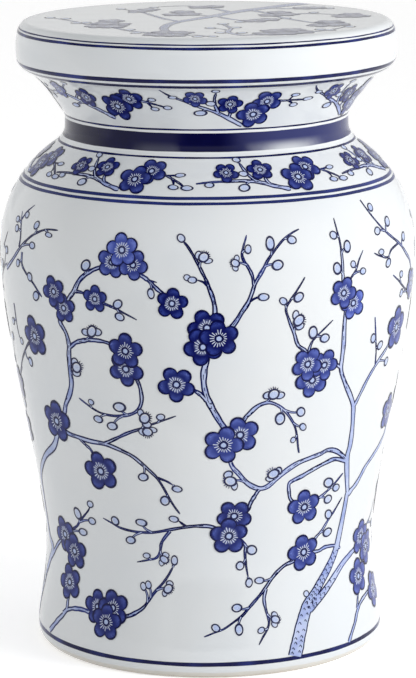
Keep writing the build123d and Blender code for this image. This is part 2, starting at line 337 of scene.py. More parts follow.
# The spray between two painted fronts, as if that side faced the camera.
BODY_SIDE_TURNS = (90, 270)
BODY_SIDE_BRANCHES = {
    "side_root": (9.0, 7.2, [(222, 659), (226, 645), (232, 628), (239, 611), (243, 600)]),
    "side_trunk": (7.0, 4.6, [
        (229, 636), (221, 612), (215, 585), (211, 555), (210, 525), (213, 495), (218, 465), (220, 440),
        (217, 410),
    ]),
    "side_upper": (4.4, 1.2, [
        (217, 410), (212, 385), (209, 355), (212, 325), (217, 298), (216, 270), (212, 245), (213, 222),
    ]),
    "side_left": (4.0, 1.2, [(217, 470), (205, 450), (195, 428), (190, 405), (192, 385), (188, 366)]),
    "side_right": (4.2, 2.8, [(219, 448), (232, 432), (246, 416), (262, 402), (277, 390)]),
    "side_right_twig": (2.6, 1.0, [(240, 423), (246, 402), (250, 384), (258, 368)]),
    "side_high_right": (3.4, 1.4, [(210, 342), (226, 322), (244, 306), (260, 294), (276, 286)]),
    "side_high_tip": (1.8, 1.0, [(260, 294), (267, 284), (271, 274)]),
    "side_high_left": (2.8, 1.0, [(214, 312), (203, 297), (196, 282), (194, 266), (188, 250)]),
    "side_middle": (3.4, 1.2, [(213, 498), (226, 486), (236, 470), (244, 452), (251, 438)]),
    "side_low": (3.6, 1.2, [(212, 562), (202, 546), (196, 528), (193, 508), (188, 492)]),
}
BODY_SIDE_BUDS = [
    (213, 216, 9, 11), (221, 281, 9, 9), (206, 258, 8, 11), (185, 246, 9, 10), (188, 279, 8, 9),
    (252, 291, 8, 10), (236, 321, 9, 9), (186, 361, 9, 11), (200, 391, 9, 9), (182, 412, 9, 9),
    (260, 364, 9, 10), (243, 390, 8, 10), (186, 487, 9, 11), (201, 505, 9, 9), (253, 433, 9, 10),
    (226, 470, 9, 9), (224, 566, 9, 10),
]
BODY_SIDE_OPENING_BUDS = [(228, 340, 10, 10, 60), (204, 580, 11, 11, 170), (202, 318, 10, 10, 150)]
BODY_SIDE_BLOSSOMS = [
    (203, 357, 16, 0, 1, 10), (218, 361, 16, 1, 1, 40), (211, 346, 17, 2, 1, 25),
    (215, 288, 14.5, 0, 1, 50), (193, 431, 17, 0, 1, 30), (250, 413, 17, 0, 1, 15),
    (241, 460, 17, 0, 1, 35), (196, 526, 17, 0, 1, 20), (206, 541, 18, 1, 1, 50),
]

# The sprig that repeats round the collar, with the turns in degrees at which it stands.
COLLAR_TURNS = (0, 51.4, 154.3, 257.1)
COLLAR_BRANCHES = {
    "collar_stem": (1.0, 6.0, [
        (159, 90), (170, 96), (185, 101.5), (200, 107), (215, 112), (228, 118), (242, 125.5),
    ]),
    "collar_fork": (3.2, 3.0, [(228, 118), (230, 114), (231, 106)]),
    "collar_upright": (3.6, 2.2, [(219, 114), (215.5, 106), (214.5, 99), (216, 93)]),
    "collar_twig": (3.0, 1.6, [(270, 101), (284, 100.5), (293, 99.8), (305, 99.2)]),
    "collar_twig_up": (1.8, 1.4, [(289, 100), (292, 97), (295, 95.5)]),
    "collar_twig_down": (1.8, 1.4, [(288, 100.4), (291, 102), (293, 103.5)]),
}
COLLAR_BUDS = [
    (173, 97.3, 9.5, 5), (200, 113, 13, 7.5), (210.5, 103.5, 10.5, 7.5), (216, 91, 8.5, 6.5),
    (308, 98.2, 9.5, 5), (296, 94.5, 8.5, 5), (293.5, 104.3, 8.5, 5.5),
]
COLLAR_BLOSSOMS = [
    (195, 98.5, 12, 0, 1), (230, 104, 12.5, 1, 0), (267, 101, 15.5, 0, 1), (253, 114, 16.5, 1, 1),
]

# The other sprig of the collar, as it shows on the left.
COLLAR_SIDE_TURNS = (0, 154.3, 257.1)
COLLAR_SIDE_BRANCHES = {
    "side_stem": (2.6, 6.0, [
        (50, 80), (57, 87), (65, 93), (76, 98.5), (88, 104), (99, 109.5), (108, 114), (116, 118),
    ]),
    "side_upright": (2.6, 1.6, [(76, 98.5), (78, 94), (84, 92)]),
    "side_twig": (3.0, 1.6, [(136, 100), (146, 102), (155, 104.4), (166, 107.4)]),
    "side_twig_up": (1.8, 1.4, [(146, 102), (149, 100.4), (152, 99.6)]),
    "side_twig_down": (1.8, 1.4, [(147, 102.4), (151, 106), (154, 108.6)]),
}
COLLAR_SIDE_BUDS = [
    (76, 104.6, 7, 5.5), (64, 83, 4, 6), (152, 99.6, 8.5, 5.5), (155.4, 108.8, 8.5, 5.5),
    (168, 107.6, 9.5, 5.5),
]
COLLAR_SIDE_BLOSSOMS = [
    (59, 88.4, 12, 0, 2), (86.5, 97, 13, 0, 0), (129, 98.6, 15, 0, 0), (118, 106, 17, 1, 0),
]

# The sprig that repeats round the shoulder.
SHOULDER_TURNS = (0, 52.5, 103, 154, 205, 255, 305.5)
SHOULDER_BRANCHES = {
    "shoulder_stem": (1.2, 6.0, [
        (196, 184), (210, 182.4), (225, 181.6), (245, 181), (262, 182.8), (275, 186), (291, 189),
    ]),
    "shoulder_fork": (3.2, 3.0, [(273, 186), (267, 181), (263, 174)]),
    "shoulder_upright": (4.0, 2.6, [(262, 183), (253, 179), (245, 171), (239, 163)]),
    "shoulder_twig": (3.0, 1.6, [(308, 168), (318, 168.8), (326, 171), (335, 174.5), (341, 177.5)]),
    "shoulder_twig_up": (1.8, 1.4, [(321, 169), (325, 168), (328, 167)]),
    "shoulder_twig_down": (1.8, 1.4, [(325, 170.5), (330, 174), (333, 178)]),
}
SHOULDER_BUDS = [
    (209, 185.4, 9.5, 6.5), (244, 188, 11.5, 9), (243, 174, 9.5, 7.5), (236, 160, 8, 7.5),
    (343.5, 178, 9.5, 6), (329.5, 167, 8.5, 5.5), (334, 179, 8.5, 6),
]
SHOULDER_BLOSSOMS = [
    (226, 173, 12.5, 0, 0), (260, 170, 13, 1, 0), (305, 167, 16, 0, 1), (298, 177, 17, 1, 1),
]

# Painting on the seat; its widths and radii are as seen from above.
SEAT_BRANCHES = {
    "seat_main": (20, 8, [
        (304, 3.3), (282, 5.8), (267, 7.8), (250, 9.9), (232, 12.5), (214, 16), (196, 19), (180, 21.5),
        (169, 24.5), (164, 28), (166, 31.5),
    ]),
    "seat_back": (7, 2.6, [(267, 7.8), (282, 8.6), (298, 8.4), (314, 7.6), (328, 8.4)]),
    "seat_back_left": (7, 2.4, [(232, 12.5), (220, 9.8), (206, 7.4), (190, 6), (172, 6.2), (156, 7)]),
    "seat_right": (8, 3, [
        (250, 9.9), (264, 12.4), (282, 14), (304, 13.6), (326, 14), (348, 15), (364, 15),
    ]),
    "seat_right_front": (7, 3, [(264, 12.4), (282, 17.4), (302, 21), (322, 23.5), (340, 23.4)]),
    "seat_middle": (6, 2.4, [(214, 16), (230, 19), (246, 20.6), (262, 20.2), (284, 18.6)]),
    "seat_centre": (5, 3, [(214, 16), (203, 15.4), (190, 14.4)]),
    "seat_left": (8, 4, [(166, 31.5), (150, 32.6), (134, 31.4), (118, 28.6), (104, 25)]),
    "seat_left_tip": (6, 2.4, [(104, 25), (88, 24.4), (74, 21.4), (62, 19.4), (52, 18)]),
    "seat_left_back": (7, 2.4, [(180, 21.5), (164, 18.6), (150, 14.5), (138, 11.2), (124, 9.6)]),
    "seat_front": (6, 2.6, [(166, 33), (182, 35.4), (196, 35), (212, 37)]),
    "seat_front_right": (4, 8, [(224, 24.6), (231, 28.4), (228, 32), (240, 35), (256, 34.6), (272, 33.6)]),
    "seat_front_twig": (4.4, 2.2, [(229, 30.4), (222, 29), (212, 28.4)]),
    "seat_far_right": (6, 2.4, [(300, 32.6), (318, 31.2), (334, 29), (348, 26.4)]),
}
SEAT_BUDS = [
    (50, 17.6, 11, 14), (66, 18.6, 11, 13), (76, 23, 12, 13), (86, 22.4, 11, 13), (130, 29.6, 12, 14),
    (136, 33, 12, 13), (121, 9, 11, 13), (133, 12.2, 11, 13), (198, 36.6, 12, 14), (213, 36.4, 12, 13),
    (210, 28, 12, 13), (223, 23.8, 12, 14), (236, 27.4, 12, 14), (220, 32.6, 12, 13), (242, 32.8, 12, 13),
    (240, 22, 11, 13), (286, 18.2, 11, 13), (330, 8.2, 10, 12), (314, 12.4, 11, 13), (366, 15.8, 11, 13),
    (350, 26.6, 12, 13), (330, 30, 12, 13), (320, 29.4, 12, 13), (154, 7.4, 10, 12),
]
SEAT_BLOSSOMS = [
    (99, 26.4, 15, 0), (112, 26.6, 15, 1), (118, 24.2, 14, 0), (105, 23.6, 15, 2), (111, 21, 14, 3),
    (140, 11, 13, 0), (149, 9.6, 12, 1), (175, 14.6, 14, 0), (189, 14.2, 14, 1), (183, 12, 14, 2),
    (200, 7.2, 13, 0), (213, 6.6, 13, 1), (157, 34.6, 15, 0), (173, 35, 15, 1), (166, 32.4, 15, 2),
    (180, 32.8, 14, 3), (255, 20.8, 14, 0), (267, 19.6, 14, 1), (271, 15.2, 14, 0), (286, 14.4, 14, 1),
    (279, 12.4, 13, 2), (304, 8, 13, 0), (316, 7.8, 12, 1), (321, 25.2, 15, 0), (337, 24.6, 15, 1),
    (330, 22, 15, 2), (267, 33.6, 15, 0), (284, 33.4, 15, 1), (275, 31, 15, 2), (300, 32, 15, 0),
    (292, 30, 14, 3), (345, 16.2, 14, 0), (357, 16, 13, 1), (351, 14.2, 12, 2),
]

# Painted rings on the outside: lower and upper edge in millimetres above the floor.
RINGS = {
    "foot_ring": (9.5, 12.5),
    "neck_foot_ring": (369.0, 370.2),
    "collar_foot_ring": (387.9, 389.2),
    "rim_low_ring": (420.7, 422.7),
    "rim_high_ring": (424.6, 427.4),
    "edge_low_ring": (447.4, 449.2),
    "edge_high_ring": (450.3, 451.2),
}

# Rings of the shoulder, in thinner ink.
SHOULDER_RINGS = {
    "shoulder_low_ring": (341.1, 343.0),
    "shoulder_high_ring": (344.4, 346.4),
}


def number(name, description, default, **more):
    """A number setting."""
    return bpy.props.FloatProperty(name=name, description=description, default=default, **more)


def length(name, description, default):
    """A length setting in metres."""
    return number(name, description, default, unit="LENGTH", precision=4)


def power(name, description, default):
    """A lamp's power in watts."""
    return number(name, description, default, unit="POWER", min=0)


def angle(name, description, degrees):
    """An angle setting, given in degrees."""
    return number(name, description, math.radians(degrees), subtype="ANGLE")


def colour(name, description, default):
    """A colour setting."""
    return bpy.props.FloatVectorProperty(
        name=name, description=description, default=default, subtype="COLOR", min=0, max=1
    )


class StoolForm(bpy.types.PropertyGroup):
    """Heights, radii and thicknesses of the turned form."""

    base_height: length("Base height", "From the floor to the waist", 0.074)
    lower_height: length("Lower body height", "From the waist to the middle joint", 0.106)
    upper_height: length("Upper body height", "From the middle joint to the belly", 0.110)
    shoulder_height: length("Shoulder height", "From the belly to the neck", 0.082)
    neck_height: length("Neck height", "Height of the straight neck", 0.0165)
    collar_height: length("Collar height", "From the neck to the rim", 0.031)
    rim_height: length("Rim height", "From the collar to the seat", 0.0355)
    foot_swell: length("Foot swell", "Height of the foot's widest ring", 0.009)
    rim_swell: length("Rim swell", "From the collar to the rim's widest ring", 0.017)
    foot_base: length("Foot base radius", "Outside of the standing face", 0.1215)
    foot: length("Foot radius", "Widest ring of the foot", 0.1268)
    waist: length("Waist radius", "Narrowest ring above the foot", 0.1202)
    middle: length("Middle radius", "Radius at the middle joint", 0.1362)
    belly: length("Belly radius", "Widest ring of the body", 0.1504)
    neck: length("Neck radius", "Radius of the neck", 0.1023)
    collar_top: length("Collar top radius", "Radius where the collar meets the rim", 0.1278)
    rim: length("Rim radius", "Widest ring of the rim", 0.137)
    seat_flat: length("Flat seat radius", "Where the rim's round edge begins", 0.1285)
    plate: length("Seat plate radius", "Radius of the disc let into the rim", 0.112)
    wall: length("Wall", "Thickness of the clay wall", 0.008)
    foot_land: length("Standing face", "Width of the ring that stands on the floor", 0.012)
    collar_top_wall: length("Collar top wall", "Thickness of the collar where it meets the rim", 0.014)
    plate_thickness: length("Plate thickness", "Thickness of the seat plate at its edge", 0.006)
    boss_thickness: length("Boss thickness", "What the plate's middle has below its edge", 0.006)
    ledge_width: length("Ledge width", "Width of the rim's ledge under the plate", 0.008)
    ledge_thickness: length("Ledge thickness", "Thickness of that ledge", 0.008)
    glaze_round: length("Glaze rounding", "Length over which glaze rounds a turn of the outline", 0.0011)
    neck_round: length("Neck rounding", "Length over which the neck runs out into the shoulder", 0.006)


class StoolPaint(bpy.types.PropertyGroup):
    """Sizes and colours of the painting."""

    line: length("Outline", "Width of a branch's dark outline", 0.00100)
    # Heavier outlines on the left of the body: partly painted shade.
    ink_and_shade: number("Inky", "Times the outline, on the left of the body", 1.18, min=1)
    coat: length("Coat", "Height of the first coat of paint above the glaze", 0.0001)
    band_low: length("Band foot", "Height of the neck band's lower edge", 0.3733)
    band_high: length("Band top", "Height of the neck band's upper edge", 0.3861)
    body_sprays: bpy.props.IntProperty(
        name="Body sprays", description="Times the painting goes round the body", default=2, min=1
    )
    white: colour("White glaze", "Glaze over the white clay", (0.79, 0.815, 0.83))
    clay: colour("Bare clay", "Unglazed clay", (0.66, 0.58, 0.47))
    ink: colour("Ink", "Outlines and rings", (0.003, 0.004, 0.055))
    thin: colour("Thin ink", "Rings of the shoulder", (0.016, 0.025, 0.125))
    deep: colour("Deep cobalt", "Middle of a petal", (0.005, 0.008, 0.105))
    cobalt: colour("Cobalt", "Body of a petal", (0.034, 0.056, 0.30))
    bright: colour("Bright cobalt", "Thin paint at a petal's edge", (0.17, 0.23, 0.66))
    wash: colour("Wash", "Thin blue on branches and buds", (0.42, 0.49, 0.76))
    band: colour("Neck band", "Thick cobalt round the neck", (0.0012, 0.0014, 0.030))


class StoolStage(bpy.types.PropertyGroup):
    """Camera and lamps."""

    camera_back: length("Camera distance", "From the stool's axis, along the floor", 2.349)
    camera_up: length("Camera height", "Above the floor", 0.6998)
    camera_dip: angle("Camera dip", "Downward tilt", 11.54)
    camera_roll: angle("Camera roll", "Lean of the camera", -0.36)
    focal_pixels: number("Focal length", "In pixels of the photo", 3275.3)
    key: power("Right softbox", "Lamp at the front right", 26.5)
    fill: power("Left panel", "Lamp at the front left", 3.4)
    top: power("Top softbox", "Lamp overhead", 0.3)
    room: number("Room light", "Strength of the light all round", 0.635, min=0)
    wall: number("White wall", "Strength of the wall on the right", 0.6, min=0)


def bezier(points, count=160):
    """Points along a Bezier curve: neighbouring points are blended again and again until one is left."""
    t = np.linspace(0, 1, count)[:, None]
    layers = [np.array(p, float)[None] for p in points]
    while len(layers) > 1:
        layers = [(1 - t) * a + t * b for a, b in zip(layers, layers[1:])]
    return layers[0]


def pulled(end, pull):
    """A handle of a curve: its end moved by one of the outline's pulls."""
    out, up = PULLS[pull]
    return end[0] + out * MM, end[1] + up * MM


def bent(start, end, name):
    """Control points of a curve: its two ends, with a handle pulled from each."""
    return [start, pulled(start, name + "_low"), pulled(end, name + "_high"), end]


def inset(curve, wall):
    """A curve moved in towards the axis by the wall, and run the other way."""
    return [(radius - wall, height) for radius, height in reversed(curve)]


def unit(v):
    """Vectors along the last axis, brought to length 1."""
    return v / np.maximum(np.linalg.norm(v, axis=-1, keepdims=True), 1e-12)


class Camera:
    """The photo's camera: where it stands, and which ray each photo pixel looks along."""

    def __init__(self, stage):
        dip, roll = stage.camera_dip, stage.camera_roll
        right, up = np.array([1.0, 0, 0]), np.array([0, math.sin(dip), math.cos(dip)])
        self.place = np.array([0, -stage.camera_back, stage.camera_up])
        self.ahead = np.array([0, math.cos(dip), -math.sin(dip)])
        self.right = math.cos(roll) * right + math.sin(roll) * up
        self.up = math.cos(roll) * up - math.sin(roll) * right
        self.focal = stage.focal_pixels

    def rays(self, pixels):
        """Directions for pixels: ahead, plus right and up by the pixel's offset over the focal length."""
        x = (pixels[:, :1] - PHOTO_WIDTH / 2) / self.focal
        y = (PHOTO_HEIGHT / 2 - pixels[:, 1:]) / self.focal
        return self.ahead + x * self.right + y * self.up


def rounded(line, width):
    """A line averaged with a bell curve of a width in points; past its ends it goes straight on."""
    reach = int(4 * width)
    bell = np.exp(-0.5 * (np.arange(-reach, reach + 1) / width) ** 2)
    before, after = 2 * line[0] - line[reach:0:-1], 2 * line[-1] - line[-2 : -reach - 2 : -1]
    padded = np.vstack([before, line, after])
    return np.stack([np.convolve(column, bell / bell.sum(), "valid") for column in padded.T], 1)


class Outline:
    """Outside line of the stool from the standing face to the middle of the seat.

    Bezier curves join end to end. The line is then averaged along its own run with a bell curve, as glaze
    fills and rounds each turn, and kept as radius and height against run. Near the neck's foot a wider bell
    curve takes over.
    """

    def __init__(self, form):
        f = form
        heights = [f.base_height, f.lower_height, f.upper_height, f.shoulder_height]
        heights += [f.neck_height, f.collar_height, f.rim_height]
        levels = np.cumsum(heights)
        self.waist_z, self.middle_z, self.belly_z, self.neck_z = levels[:4]
        self.collar_z, self.rim_z, self.seat_z = levels[4:]
        foot, waist = (f.foot, f.foot_swell), (f.waist, self.waist_z)
        middle, belly = (f.middle, self.middle_z), (f.belly, self.belly_z)
        neck_foot, neck_top = (f.neck, self.neck_z), (f.neck, self.collar_z)
        collar_top, rim = (f.collar_top, self.rim_z), (f.rim, self.rim_z + f.rim_swell)
        seat_edge, seat_middle = (f.seat_flat, self.seat_z), (0, self.seat_z)
        self.curves = {
            "foot": [(f.foot_base, 0), pulled(foot, "foot"), foot],
            "flare": bent(foot, waist, "flare"),
            "lower": bent(waist, middle, "lower"),
            "upper": bent(middle, belly, "upper"),
            "shoulder": bent(belly, neck_foot, "shoulder"),
            "neck": [neck_foot, neck_top],
            "collar": bent(neck_top, collar_top, "collar"),
            "lip": bent(collar_top, rim, "lip"),
            "edge": bent(rim, seat_edge, "edge"),
            "seat": [seat_edge, seat_middle],
        }
        line = np.vstack([bezier(curve)[:-1] for curve in self.curves.values()] + [[seat_middle]])
        run = np.concatenate([[0], np.cumsum(np.linalg.norm(np.diff(line, axis=0), axis=1))])
        self.run = np.arange(0, run[-1], OUTLINE_STEP)
        even = np.stack([np.interp(self.run, run, column) for column in line.T], 1)
        soft, full = (rounded(even, size / OUTLINE_STEP) for size in (f.glaze_round, f.neck_round))
        past = self.run - np.interp(self.neck_z, even[:, 1], self.run)
        reach = np.where(past > 0, REACH_PAST_NECK, REACH_BEFORE_NECK) * f.neck_round
        self.line = soft + (full - soft) * np.exp(-0.5 * (past / reach) ** 2)[:, None]
        along = unit(np.gradient(self.line, axis=0))
        self.normal = np.stack([along[:, 1], -along[:, 0]], 1)
        wall_end = int(np.argmax(self.line[:, 1] > self.seat_z - WALL_END_GAP))
        self.wall_run, self.wall_radius, self.wall_height = self.run[:wall_end], *self.line[:wall_end].T

    def at(self, run):
        """Radius, height, and the outward and upward parts of the normal at a run."""
        return [np.interp(run, self.run, column) for column in (*self.line.T, *self.normal.T)]

    def run_at(self, height):
        """Run at a height on the outside wall."""
        return np.interp(height, self.wall_height, self.wall_run)

    def place(self, turn, run, lift=0.0):
        """Points and normals: radius and height at the run, moved out by lift and turned about Z."""
        turn, run = np.broadcast_arrays(turn, run)
        radius, height, out, up = self.at(run)
        radius, height = radius + lift * out, height + lift * up
        s, c = np.sin(turn), np.cos(turn)
        return np.stack([radius * s, -radius * c, height], -1), unit(np.stack([out * s, -out * c, up], -1))

    def width(self, run):
        """Metres round the wall for each radian of turn: the radius."""
        return self.at(run)[0]

    def from_photo(self, pixels, camera):
        """Turn and run where each pixel's ray first meets the wall, and the metres that a pixel covers there.

        Each ray is stepped through the stool's depth. The wall's radius at the ray's height is taken from the
        ray's own distance from the axis, and the point is where the sign first changes. A ray that misses
        takes the step that comes nearest.
        """
        rays = camera.rays(np.asarray(pixels, float))
        depth = np.linspace(NEAREST, FARTHEST, DEPTH_STEPS)
        points = camera.place + depth[None, :, None] * rays[:, None]
        x, y, z = np.moveaxis(points, -1, 0)
        missed = 1.0
        off = (z < 0) | (z > self.seat_z)
        gap = np.where(off, missed, np.hypot(x, y) - np.interp(z, self.wall_height, self.wall_radius))
        inside = gap < 0
        first = np.where(inside.any(1), inside.argmax(1), gap.argmin(1))
        before = np.maximum(first - 1, 0)
        row = np.arange(len(rays))
        a, b = gap[row, before], gap[row, first]
        crossed = (b < 0) & (a > 0) & (a < missed / 2)
        share = np.where(crossed, a / np.maximum(a - b, 1e-12), 1.0)
        hit = depth[before] + share * (depth[first] - depth[before])
        x, y, z = (camera.place + hit[:, None] * rays).T
        return np.stack([np.arctan2(x, -y), self.run_at(z)], 1), hit / camera.focal


class SeatTop:
    """The flat seat, in metres to the right of and behind its middle."""

    def __init__(self, height):
        self.height = height

    def place(self, right, back, lift=0.0):
        """Points and normals on the level plane of the seat, moved up by lift."""
        right, back = np.broadcast_arrays(right, back)
        points = np.stack([right, back, np.full(right.shape, self.height + lift)], -1)
        return points, np.broadcast_to([0.0, 0, 1], points.shape)

    def width(self, back):
        """Metres for each unit to the right: 1 everywhere."""
        return np.ones_like(back)

    def seen_from_above(self, pixels, camera):
        """Where each photo pixel's ray meets the seat, in pixels of a view straight down on it."""
        rays = camera.rays(np.asarray(pixels, float))
        depth = (self.height - camera.place[2]) / rays[:, 2]
        return (camera.place + depth[:, None] * rays)[:, :2] * (1, -1) / SEAT_PIXEL

    def from_above(self, pixels):
        """Places on the seat for pixels of the view straight down, and the metres that a pixel covers."""
        return np.asarray(pixels, float) * (SEAT_PIXEL, -SEAT_PIXEL), np.full(len(pixels), SEAT_PIXEL)


def put_in_scene(name, mesh, materials, nodes=()):
    """Links a finished mesh as a piece that rides with the stool and takes its finish from a slot."""
    for material in materials:
        mesh.materials.append(material)
    piece = bpy.data.objects.new(name, mesh)
    bpy.context.scene.collection.objects.link(piece)
    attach(piece, "root")
    if nodes:
        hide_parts(*nodes)


def fill_mesh(name, points, faces, normals, maps, material_index=None):
    """A mesh from points, faces of three or four corners, and for every corner a normal and each UV map."""
    mesh = bpy.data.meshes.new(name)
    mesh.from_pydata(points.tolist(), [], [face.tolist() for face in faces])
    mesh.polygons.foreach_set("use_smooth", np.ones(len(faces), bool))
    if material_index is not None:
        mesh.polygons.foreach_set("material_index", material_index.astype(np.int32))
    for title, uv in maps.items():
        mesh.uv_layers.new(name=title).data.foreach_set("uv", uv.astype(np.float32).ravel())
    mesh.normals_split_custom_set(normals.tolist())
    mesh.update()
    return mesh


def carried_round(section):
    """Radius and height of each section row, carried once round Z: rows, then places round, then X, Y, Z."""
    turn = np.arange(TURNED_FACES) * FULL_TURN / TURNED_FACES
    radius, height = section[:, :1], section[:, 1:]
    return np.stack([radius * np.sin(turn), -radius * np.cos(turn), np.repeat(height, TURNED_FACES, 1)], -1)


def face_corners(low, high):
    """Values at the four corners of each face: two on its own row, and two on the next."""
    return np.stack([low, np.roll(low, -1, 1), np.roll(high, -1, 1), high], 2)


def turned_piece(name, section, outer_normals, inside_from):
    """A closed piece turned about Z from a section of radius and height, first its outside, then its inside.

    Points: each section point carried round the axis. Normals: the outline's on the outside; elsewhere the
    section's own, averaged where two runs meet nearly straight. A section point on the axis is one vertex,
    and faces there have three corners.
    """
    rows, outer = len(section), len(outer_normals) - 1
    nearly_straight = 0.8
    ahead = np.roll(section, -1, axis=0) - section
    flat = unit(np.stack([ahead[:, 1], -ahead[:, 0]], 1))
    back = np.roll(flat, 1, axis=0)
    soft = unit(flat + back)
    near = (flat * back).sum(1) > nearly_straight
    start = np.where(near[:, None], soft, flat)
    end = np.where(np.roll(near, -1)[:, None], np.roll(soft, -1, axis=0), flat)
    start[:outer], end[:outer] = outer_normals[:-1], outer_normals[1:]

    on_axis = section[:, 0] < 1e-7
    next_on_axis = np.roll(on_axis, -1)
    index = np.arange(rows * TURNED_FACES).reshape(rows, TURNED_FACES)
    index[on_axis] = index[on_axis][:, :1]
    faces = face_corners(index, np.roll(index, -1, axis=0))
    normals = face_corners(carried_round(start), carried_round(end))
    run = np.concatenate([[0], np.cumsum(np.linalg.norm(ahead, axis=1))])
    u = (np.arange(TURNED_FACES)[:, None] + [0, 1, 1, 0]) / TURNED_FACES
    v = (run[:-1, None] * [1, 1, 0, 0] + run[1:, None] * [0, 0, 1, 1]) / run[-1]
    uv = np.stack(np.broadcast_arrays(u, v[:, None]), -1)

    kept = np.ones((rows, TURNED_FACES, 4), bool)
    kept[on_axis, :, 1] = False
    kept[next_on_axis, :, 2] = False
    kept[on_axis & next_on_axis] = False
    used = np.unique(faces[kept])
    faces = np.searchsorted(used, faces)
    corners = [face[keep] for face, keep in zip(faces.reshape(-1, 4), kept.reshape(-1, 4)) if keep.any()]
    inside = np.broadcast_to((np.arange(rows) >= inside_from)[:, None], (rows, TURNED_FACES))
    points = carried_round(section).reshape(-1, 3)[used]
    return fill_mesh(name, points, corners, normals[kept], {"OFBake": uv[kept]}, inside[kept.any(2)])


def grid_faces(index):
    """Faces of four corners between the rows and columns of a grid of point numbers."""
    return np.stack([index[:-1, :-1], index[1:, :-1], index[1:, 1:], index[:-1, 1:]], -1).reshape(-1, 4)


class Coat:
    """Paint laid on the stool as thin patches. Each patch is a grid of points that follows the surface."""

    def __init__(self, titles=("OFBake",)):
        self.titles, self.count = titles, 0
        self.points, self.normals, self.maps, self.faces = [], [], [], []

    def add(self, points, normals, uv):
        """Adds points with a normal and a UV each, and gives the number of the first."""
        first = self.count
        self.points.append(points.reshape(-1, 3))
        self.normals.append(normals.reshape(-1, 3))
        self.maps.append(uv.reshape(-1, 2))
        self.count += len(self.points[-1])
        return first

    def patch(self, placed, uv, wrap=False):
        """Adds a grid of points and normals, and a UV for each; wrap joins the last column to the first."""
        points, normals = placed
        rows, cols = points.shape[:2]
        index = np.arange(rows * cols).reshape(rows, cols) + self.add(points, normals, uv)
        if wrap:
            index = np.hstack([index, index[:, :1]])
        self.faces.append(grid_faces(index))

    def disc(self, placed, uv, middle, middle_uv):
        """Adds rings of points about a middle; faces join every three points of the first ring to it."""
        hub = self.add(*middle, middle_uv)
        spokes = placed[0].shape[1]
        ring = hub + 1 + np.append(np.arange(spokes), 0)
        self.faces.append(np.stack([np.full(spokes // 2, hub), ring[:-1:2], ring[1::2], ring[2::2]], -1))
        self.patch(placed, uv, wrap=True)

    def make(self, name, material, turns=(0,)):
        """One piece from all patches, set round the axis at each turn in degrees."""
        repeats, turn = len(turns), np.radians(turns)
        spin = np.zeros((repeats, 3, 3))
        spin[:, 0, 0] = spin[:, 1, 1] = np.cos(turn)
        spin[:, 0, 1], spin[:, 1, 0] = -np.sin(turn), np.sin(turn)
        spin[:, 2, 2] = 1
        points, normals = (
            np.einsum("kij,nj->kni", spin, np.vstack(vectors)).reshape(-1, 3)
            for vectors in (self.points, self.normals)
        )
        faces = (np.vstack(self.faces) + np.arange(repeats)[:, None, None] * self.count).reshape(-1, 4)
        corner = faces.ravel()
        uv = np.tile(np.vstack(self.maps), (repeats, 1))[corner]
        mesh = fill_mesh(name, points, faces, normals[corner], {title: uv for title in self.titles})
        put_in_scene(name, mesh, [material])


def smooth_path(points, step=1.6):
    """Points along a curve through given points: cubics whose slope follows the line between neighbours."""
    p = np.array(points, float)
    p = np.vstack([2 * p[0] - p[1], p, 2 * p[-1] - p[-2]])
    a, b, c, d = p[:-3, None], p[1:-2, None], p[2:-1, None], p[3:, None]
    longest = np.linalg.norm(np.diff(p[1:-1], axis=0), axis=1).max()
    count = max(2, int(longest / step))
    t = (np.arange(count) / count)[None, :, None]
    q = 0.5 * (2 * b + (c - a) * t + (2 * a - 5 * b + 4 * c - d) * t**2 + (3 * b - 3 * c + d - a) * t**3)
    return np.vstack([q.reshape(-1, 2), p[-2]])


def mean_step(path):
    """Mean distance between neighbouring points of a path."""
    return np.linalg.norm(np.diff(path, axis=0), axis=1).mean()


def ribbon(coat, surface, path, half, lift):
    """A stroke: the path moved to each side by half its width, at right angles to its direction."""
    a, b = path.T
    width = surface.width(b)
    da, db = np.gradient(a) * width, np.gradient(b)
    size = np.maximum(np.hypot(da, db), 1e-12)
    side = np.array([-1, 0, 1])
    across = (half / size)[:, None] * side
    right, high = a[:, None] - across * (db / width)[:, None], b[:, None] + across * da[:, None]
    along = np.concatenate([[0], np.cumsum(np.hypot(np.diff(a) * width[1:], np.diff(b)))])
    uv = np.stack(np.broadcast_arrays(along[:, None], side * half[:, None]), -1)
    coat.patch(surface.place(right, high, lift), uv)


def wander(count, rng, size):
    """A slow hand's wavering: three sine waves of different length, from random starts."""
    waves = [1.3, 3.1, 6.7]
    t = np.linspace(0, 1, count)[:, None]
    return size * np.sin(FULL_TURN * (t * waves + rng.random(3))).mean(1)


def round_patch(coat, surface, centre, reach, lift, tile, tilt, rings):
    """A round patch: points go out from the centre to the reach given for each angle, turned by tilt.

    Its UV is a disc in one of sixteen tiles, so that every patch of a tile shares the same painting.
    """
    share = np.linspace(0, 1, rings + 1)[1:, None]
    spoke = np.arange(len(reach)) * FULL_TURN / len(reach)
    across, up = share * np.cos(spoke), share * np.sin(spoke)
    c, s = math.cos(tilt), math.sin(tilt)
    right = centre[0] + (c * across - s * up) * reach / surface.width(centre[1:])
    high = centre[1] + (s * across + c * up) * reach
    corner = np.array([tile % TILES, tile // TILES]) + 0.5
    uv = (corner + DISC * np.stack([across, up], -1)) / TILES
    middle = surface.place(centre[:1], centre[1:], lift)
    coat.disc(surface.place(right, high, lift), uv, middle, corner / TILES)


def uneven(rng, size):
    """A small random amount for each petal, half of it either way."""
    return size * (rng.random(PETALS) - 0.5)


